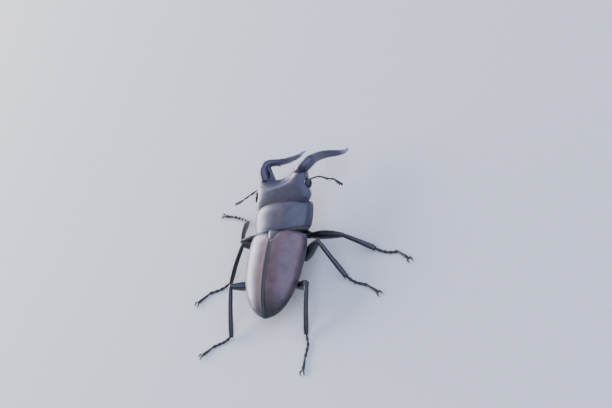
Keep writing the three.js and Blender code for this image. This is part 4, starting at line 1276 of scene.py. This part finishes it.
for name, side in SIDES:
    root, bend, elbow, wrist, tip = FEELER_PATH[name]
    scape = limb([root, bend, elbow], STEM_SIZES, STEM_SIZES, count=50)
    piece(f"feeler_stem_{name}", [scape], FEELER, [f"antenna_scape_{name}"])

    places = [halfway(elbow, wrist, (i + 0.7) / (BEADS + 0.4)) for i in range(BEADS)]
    aims = [np.subtract(wrist, elbow)] * BEADS
    reach = np.linalg.norm(aims[0]) / BEADS * 0.58
    radii = [BEAD_RADIUS + BEAD_GROWTH * i for i in range(BEADS)]
    sizes = [(radius, reach, radius) for radius in radii]
    beads = copied(f"feeler_beads_{name}", bead(), places, aims, sizes, FEELER)
    dress(beads, f"feeler_beads_{name}", FEELER, [f"antenna_stalk_{name}"])

    places = [halfway(wrist, tip, t) for t in LEAF_AT]
    aims = [np.subtract(tip, wrist)] * len(LEAF_AT)
    sizes = [(side * broad, long, thick) for broad, long, thick in LEAF_SIZES]
    club = copied(f"feeler_club_{name}", leaf(), places, aims, sizes, FEELER)
    dress(club, f"feeler_club_{name}", FEELER, [f"antenna_club_{name}"])
print("feelers:", BEADS, "beads and", len(LEAF_AT), "leaves each")

# %% [markdown]
# ## Golden hair
# Where plates slide under each other a beetle carries short golden bristles that keep dust out:
# a fringe in front of and behind the pronotum, a brush at the mouth, and combs on the legs.
# Particle hair would not survive the export, so a second tree grows thin cones from narrow
# ribbons. Each ribbon says which way its hair is combed, and where it lies on an unwrap.

# %% A tree that grows hair
# A bristle is a four-sided cone in three steps, so it has 16 corners.
BRISTLE_SIDES, BRISTLE_STEPS = 4, 3
BRISTLE_TIP = 0.15
SHORTEST, LONGEST = 0.55, 1.15
# How wide each bristle's own patch is on the bake map, as a share of the map.
PATCH = 0.003


def hair_tree():
    """Bristles of random length on a ribbon. Each follows the comb, more or less."""
    sizes = {"Density": "Float", "Length": "Float", "Thickness": "Float", "Mess": "Float", "Seed": "Int"}
    tree, given = new_tree("bristles on a ribbon", {**sizes, "Finish": "Material"})
    spread_out = {"Mesh": given["Geometry"], "Density": given["Density"], "Seed": given["Seed"]}
    roots = add(tree, "GeometryNodeDistributePointsOnFaces", spread_out)
    comb = add(tree, "GeometryNodeInputNamedAttribute", {"Name": "comb"}, data_type="FLOAT_VECTOR")
    any_way = {"Min": (-1, -1, -1), "Max": (1, 1, 1)}
    loose = add(tree, "FunctionNodeRandomValue", any_way, data_type="FLOAT_VECTOR")
    tree.links.new(given["Seed"], loose.inputs["Seed"])
    scaled = {0: loose.outputs[0], "Scale": given["Mess"]}
    messy = add(tree, "ShaderNodeVectorMath", scaled, operation="SCALE")
    combed = {0: comb.outputs["Attribute"], 1: messy.outputs[0]}
    aim = add(tree, "ShaderNodeVectorMath", combed, operation="ADD")
    facing = add(tree, "FunctionNodeAlignRotationToVector", {"Vector": aim.outputs[0]}, axis="Z")
    share = add(tree, "FunctionNodeRandomValue", {2: SHORTEST, 3: LONGEST}, data_type="FLOAT")
    length = add(tree, "ShaderNodeMath", {0: share.outputs[1], 1: given["Length"]}, operation="MULTIPLY")
    size = add(tree, "ShaderNodeCombineXYZ", {"X": given["Thickness"], "Y": given["Thickness"]})
    tree.links.new(length.outputs[0], size.inputs["Z"])
    cone = {"Vertices": BRISTLE_SIDES, "Side Segments": BRISTLE_STEPS, "Depth": 1.0}
    cone |= {"Radius Top": BRISTLE_TIP, "Radius Bottom": 1.0}
    bristle = add(tree, "GeometryNodeMeshCone", cone)
    placed = {"Points": roots.outputs["Points"], "Instance": bristle.outputs["Mesh"]}
    placed |= {"Rotation": facing.outputs[0], "Scale": size.outputs[0]}
    hairs = add(tree, "GeometryNodeInstanceOnPoints", placed)
    finish_tree(tree, hairs.outputs["Instances"], given["Finish"])
    return tree


BRISTLES = hair_tree()


def ribbons(name, rows):
    """One mesh of narrow ribbons. A row is its points, its width as a vector, and its comb."""
    corners, faces, combs, places = [], [], [], []
    for band, (line, width, comb) in enumerate(rows):
        line, start = np.asarray(line, float), len(corners)
        comb = np.broadcast_to(np.asarray(comb, float), line.shape)
        for i, point in enumerate(line):
            for edge in (-0.5, 0.5):
                corners.append(point + edge * np.asarray(width))
                combs.append(comb[i] / np.linalg.norm(comb[i]))
                places.append((i / (len(line) - 1), (band + 0.5 + 0.4 * edge) / len(rows), 0))
        for k in range(start, len(corners) - 2, 2):
            faces.append([k, k + 1, k + 3, k + 2])
    mesh = bpy.data.meshes.new(name)
    mesh.from_pydata(((np.array(corners) - np.array(MIDDLE_OF_STANCE)) * MM).tolist(), [], faces)
    for label, values in (("comb", combs), ("place", places)):
        layer = mesh.attributes.new(label, "FLOAT_VECTOR", "POINT")
        layer.data.foreach_set("vector", np.array(values, np.float32).ravel())
    return mesh


def hair(name, rows, slot, per_mm2, length, thickness=0.02, mess=0.3, seed=1):
    """Hair on ribbons, in millimetres, with each bristle a small patch of the bake map."""
    values = {"Density": per_mm2 / MM**2, "Length": length * MM, "Thickness": thickness * MM}
    mesh = grown(name, ribbons(name, rows), BRISTLES, {**values, "Mess": mess, "Seed": seed, "Finish": HAIR})
    places = np.empty(len(mesh.vertices) * 3, np.float32)
    mesh.attributes["place"].data.foreach_get("vector", places)
    corner = np.arange(len(mesh.vertices)) % (BRISTLE_SIDES * (BRISTLE_STEPS + 1))
    spot = np.stack([corner % BRISTLE_SIDES, corner // BRISTLE_SIDES], 1) / BRISTLE_STEPS * PATCH
    uv = places.reshape(-1, 3)[:, :2] * (1 - PATCH) + spot
    loops = np.empty(len(mesh.loops), np.int32)
    mesh.loops.foreach_get("vertex_index", loops)
    mesh.uv_layers.new(name="OFBake").data.foreach_set("uv", uv[loops].astype(np.float32).ravel())
    return dress(mesh, name, HAIR)


print("tree:", BRISTLES.name, "with", len(BRISTLES.nodes), "nodes")


# %% Fringes, mouth brush and combs
def shield_edge(y, bow, lift, reach=0.97, count=60):
    """Points along the front or rear edge of the pronotum, raised by a lift."""
    u = np.linspace(-reach, reach, count) * np.pi / 2
    a, m, h = shield_width(y), shield_margin(y), shield_dome(y)
    x = a * np.sign(u) * np.abs(np.sin(u)) ** SHIELD_POWER
    z = m + h * np.cos(u) ** DOME_POWER + lift
    return np.stack([x, y + bow * (1 - (x / a) ** 2), z], 1)


def turn_only(vectors):
    """Directions turned as the front of the body is, without its shift."""
    return from_forebody(vectors) - from_forebody([(0, 0, 0)])


behind = shield_edge(PRONOTUM["y"][0], PRONOTUM["rear_bow"], -0.3)
ahead = shield_edge(PRONOTUM["y"][-1] + 0.16, PRONOTUM["front_bow"], -0.02)
lift_width = turn_only([(0, 0, 0.16)])[0]
fringe = [(from_forebody(behind), lift_width, turn_only([(0, -1, 0.12)])[0])]
dense = {"per_mm2": 210, "length": 0.55, "thickness": 0.028}
made = hair("pronotum_fringe", fringe, "shield_cuticle", **dense)
print(made.name, len(made.data.polygons), "faces")
collar = [(from_forebody(ahead), lift_width, turn_only([(0, 0.55, 1)])[0])]
short = {"per_mm2": 150, "length": 0.45, "thickness": 0.02, "mess": 0.2, "seed": 4}
made = hair("collar_fringe", collar, "shield_cuticle", **short)
print(made.name, len(made.data.polygons), "faces")

brush = []
for z in (7.2, 6.6):
    brush.append((from_head([(-1.6, 17.6, z), (0, 17.9, z), (1.6, 17.6, z)]), (0, 0, 0.5), (0, 1, 0)))
for _, side in SIDES:
    cheek = mirrored([(2.0, 17.0, 5.6), (2.5, 17.6, 5.5)], side)
    brush.append((from_head(cheek), (0, 0, 0.4), (0, 1, -0.3)))
made = hair("mouth_brush", brush, "jaw_cuticle", per_mm2=50, length=1.3, thickness=0.02, seed=2)
print(made.name, len(made.data.polygons), "faces")

combs = []
for leg in LEG.values():
    knee, ankle, along, across = shin_line(leg)
    across *= -np.sign(across[0] * knee[0]) if abs(across[0]) > 0.3 else 1
    across /= np.linalg.norm(across)
    inner = [halfway(knee, ankle, t) + across * 0.7 for t in np.linspace(0.35, 0.93, 12)]
    combs.append((inner, (0, 0, 0.3), across + 1.2 * along))
    line, _ = foot_path(leg)
    combs.append((line[20:70:7] - (0, 0, 0.12), np.cross([0, 0, 1], along) * 0.5, (along[0], along[1], -0.4)))
made = hair("leg_combs", combs, "leg_cuticle", per_mm2=26, length=0.42, thickness=0.018, seed=3)
low = min(v.co.z for v in made.data.vertices) / MM
print(made.name, len(made.data.polygons), "faces, lowest point", round(low, 3), "mm")

# %% [markdown]
# ## Floor and light
# A museum table: a plain pale sheet of matt paper, whose fibres only just tint it. A long soft
# window stands low on the left and lays a broad pale gleam along the left wing case. A wide cool
# panel overhead gives the shell its blue veil, and a soft sky fills the shadows. Small hard lamps
# would give sharp white dots on the shell, which the satin of real cuticle doesn't show.

# %% Floor
FIBRE_MM = 1.5


def table_paper():
    """Uncoated paper: rough, almost white, with clouds of fibre."""
    material = bpy.data.materials.new("pale matt paper")
    material.use_nodes = True
    tree = material.node_tree
    shader = tree.nodes["Principled BSDF"]
    shader.inputs["Roughness"].default_value = 0.85
    place = add(tree, "ShaderNodeTexCoord").outputs["Object"]
    fibre = add(tree, "ShaderNodeTexNoise", {"Vector": place, "Scale": per_mm(FIBRE_MM), "Detail": 4.0})
    tone = add(tree, "ShaderNodeMix", {"Factor": fibre.outputs["Fac"]}, data_type="RGBA")
    tone.inputs["A"].default_value, tone.inputs["B"].default_value = colour("#d6d3cc"), colour("#dcd9d3")
    tree.links.new(tone.outputs["Result"], shader.inputs["Base Color"])
    return material


def table(reach=1.5):
    mesh = bpy.data.meshes.new("table")
    corners = [(-reach, -reach, 0), (reach, -reach, 0), (reach, reach, 0), (-reach, reach, 0)]
    mesh.from_pydata(corners, [], [(0, 1, 2, 3)])
    mesh.materials.append(table_paper())
    floor = bpy.data.objects.new("table", mesh)
    bpy.context.scene.collection.objects.link(floor)
    floor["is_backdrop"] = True
    return floor


print("floor:", table().name)


# %% Light
def panel(name, direction, distance, width, height, radiance, hex_code):
    """A soft rectangular lamp that faces the beetle. Sizes are in metres."""
    lamp = bpy.data.lights.new(name, "AREA")
    lamp.shape, lamp.size, lamp.size_y = "RECTANGLE", width, height
    lamp.energy = radiance * math.pi * width * height
    lamp.color = colour(hex_code)[:3]
    made = bpy.data.objects.new(name, lamp)
    bpy.context.scene.collection.objects.link(made)
    aim = Vector(direction).normalized()
    made.location = aim * distance
    made.rotation_euler = aim.to_track_quat("Z", "Y").to_euler()
    return made


world = bpy.data.worlds.new("soft sky")
bpy.context.scene.world = world
world.use_nodes = True
sky = world.node_tree.nodes["Background"].inputs
sky["Color"].default_value = colour("#dfe6f2")
sky["Strength"].default_value = 0.38
panel("left window", (-0.96, 0.13, 0.26), 0.65, 0.72, 0.32, 17, "#faf4ff")
panel("cool overhead", (0.52, 0.12, 0.85), 0.85, 2.2, 1.6, 2.3, "#b9ccff")
print("lamps: 2, sky strength", sky["Strength"].default_value)

# %% [markdown]
# ## Size of the dressed beetle
# The dressed beetle has to keep the size of its solids, so both boxes are kept and how much it
# grew is printed.

# %% Size of the dressed beetle
fine_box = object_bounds()
sizes = {"solids": [list(map(float, corner)) for corner in solid_box], "dressed": [list(map(float, c)) for c in fine_box]}
fine_size, solid_size = fine_box[1] - fine_box[0], solid_box[1] - solid_box[0]
print("grew by", [round((fine_size[i] - solid_size[i]) * 1000, 2) for i in range(3)], "mm")
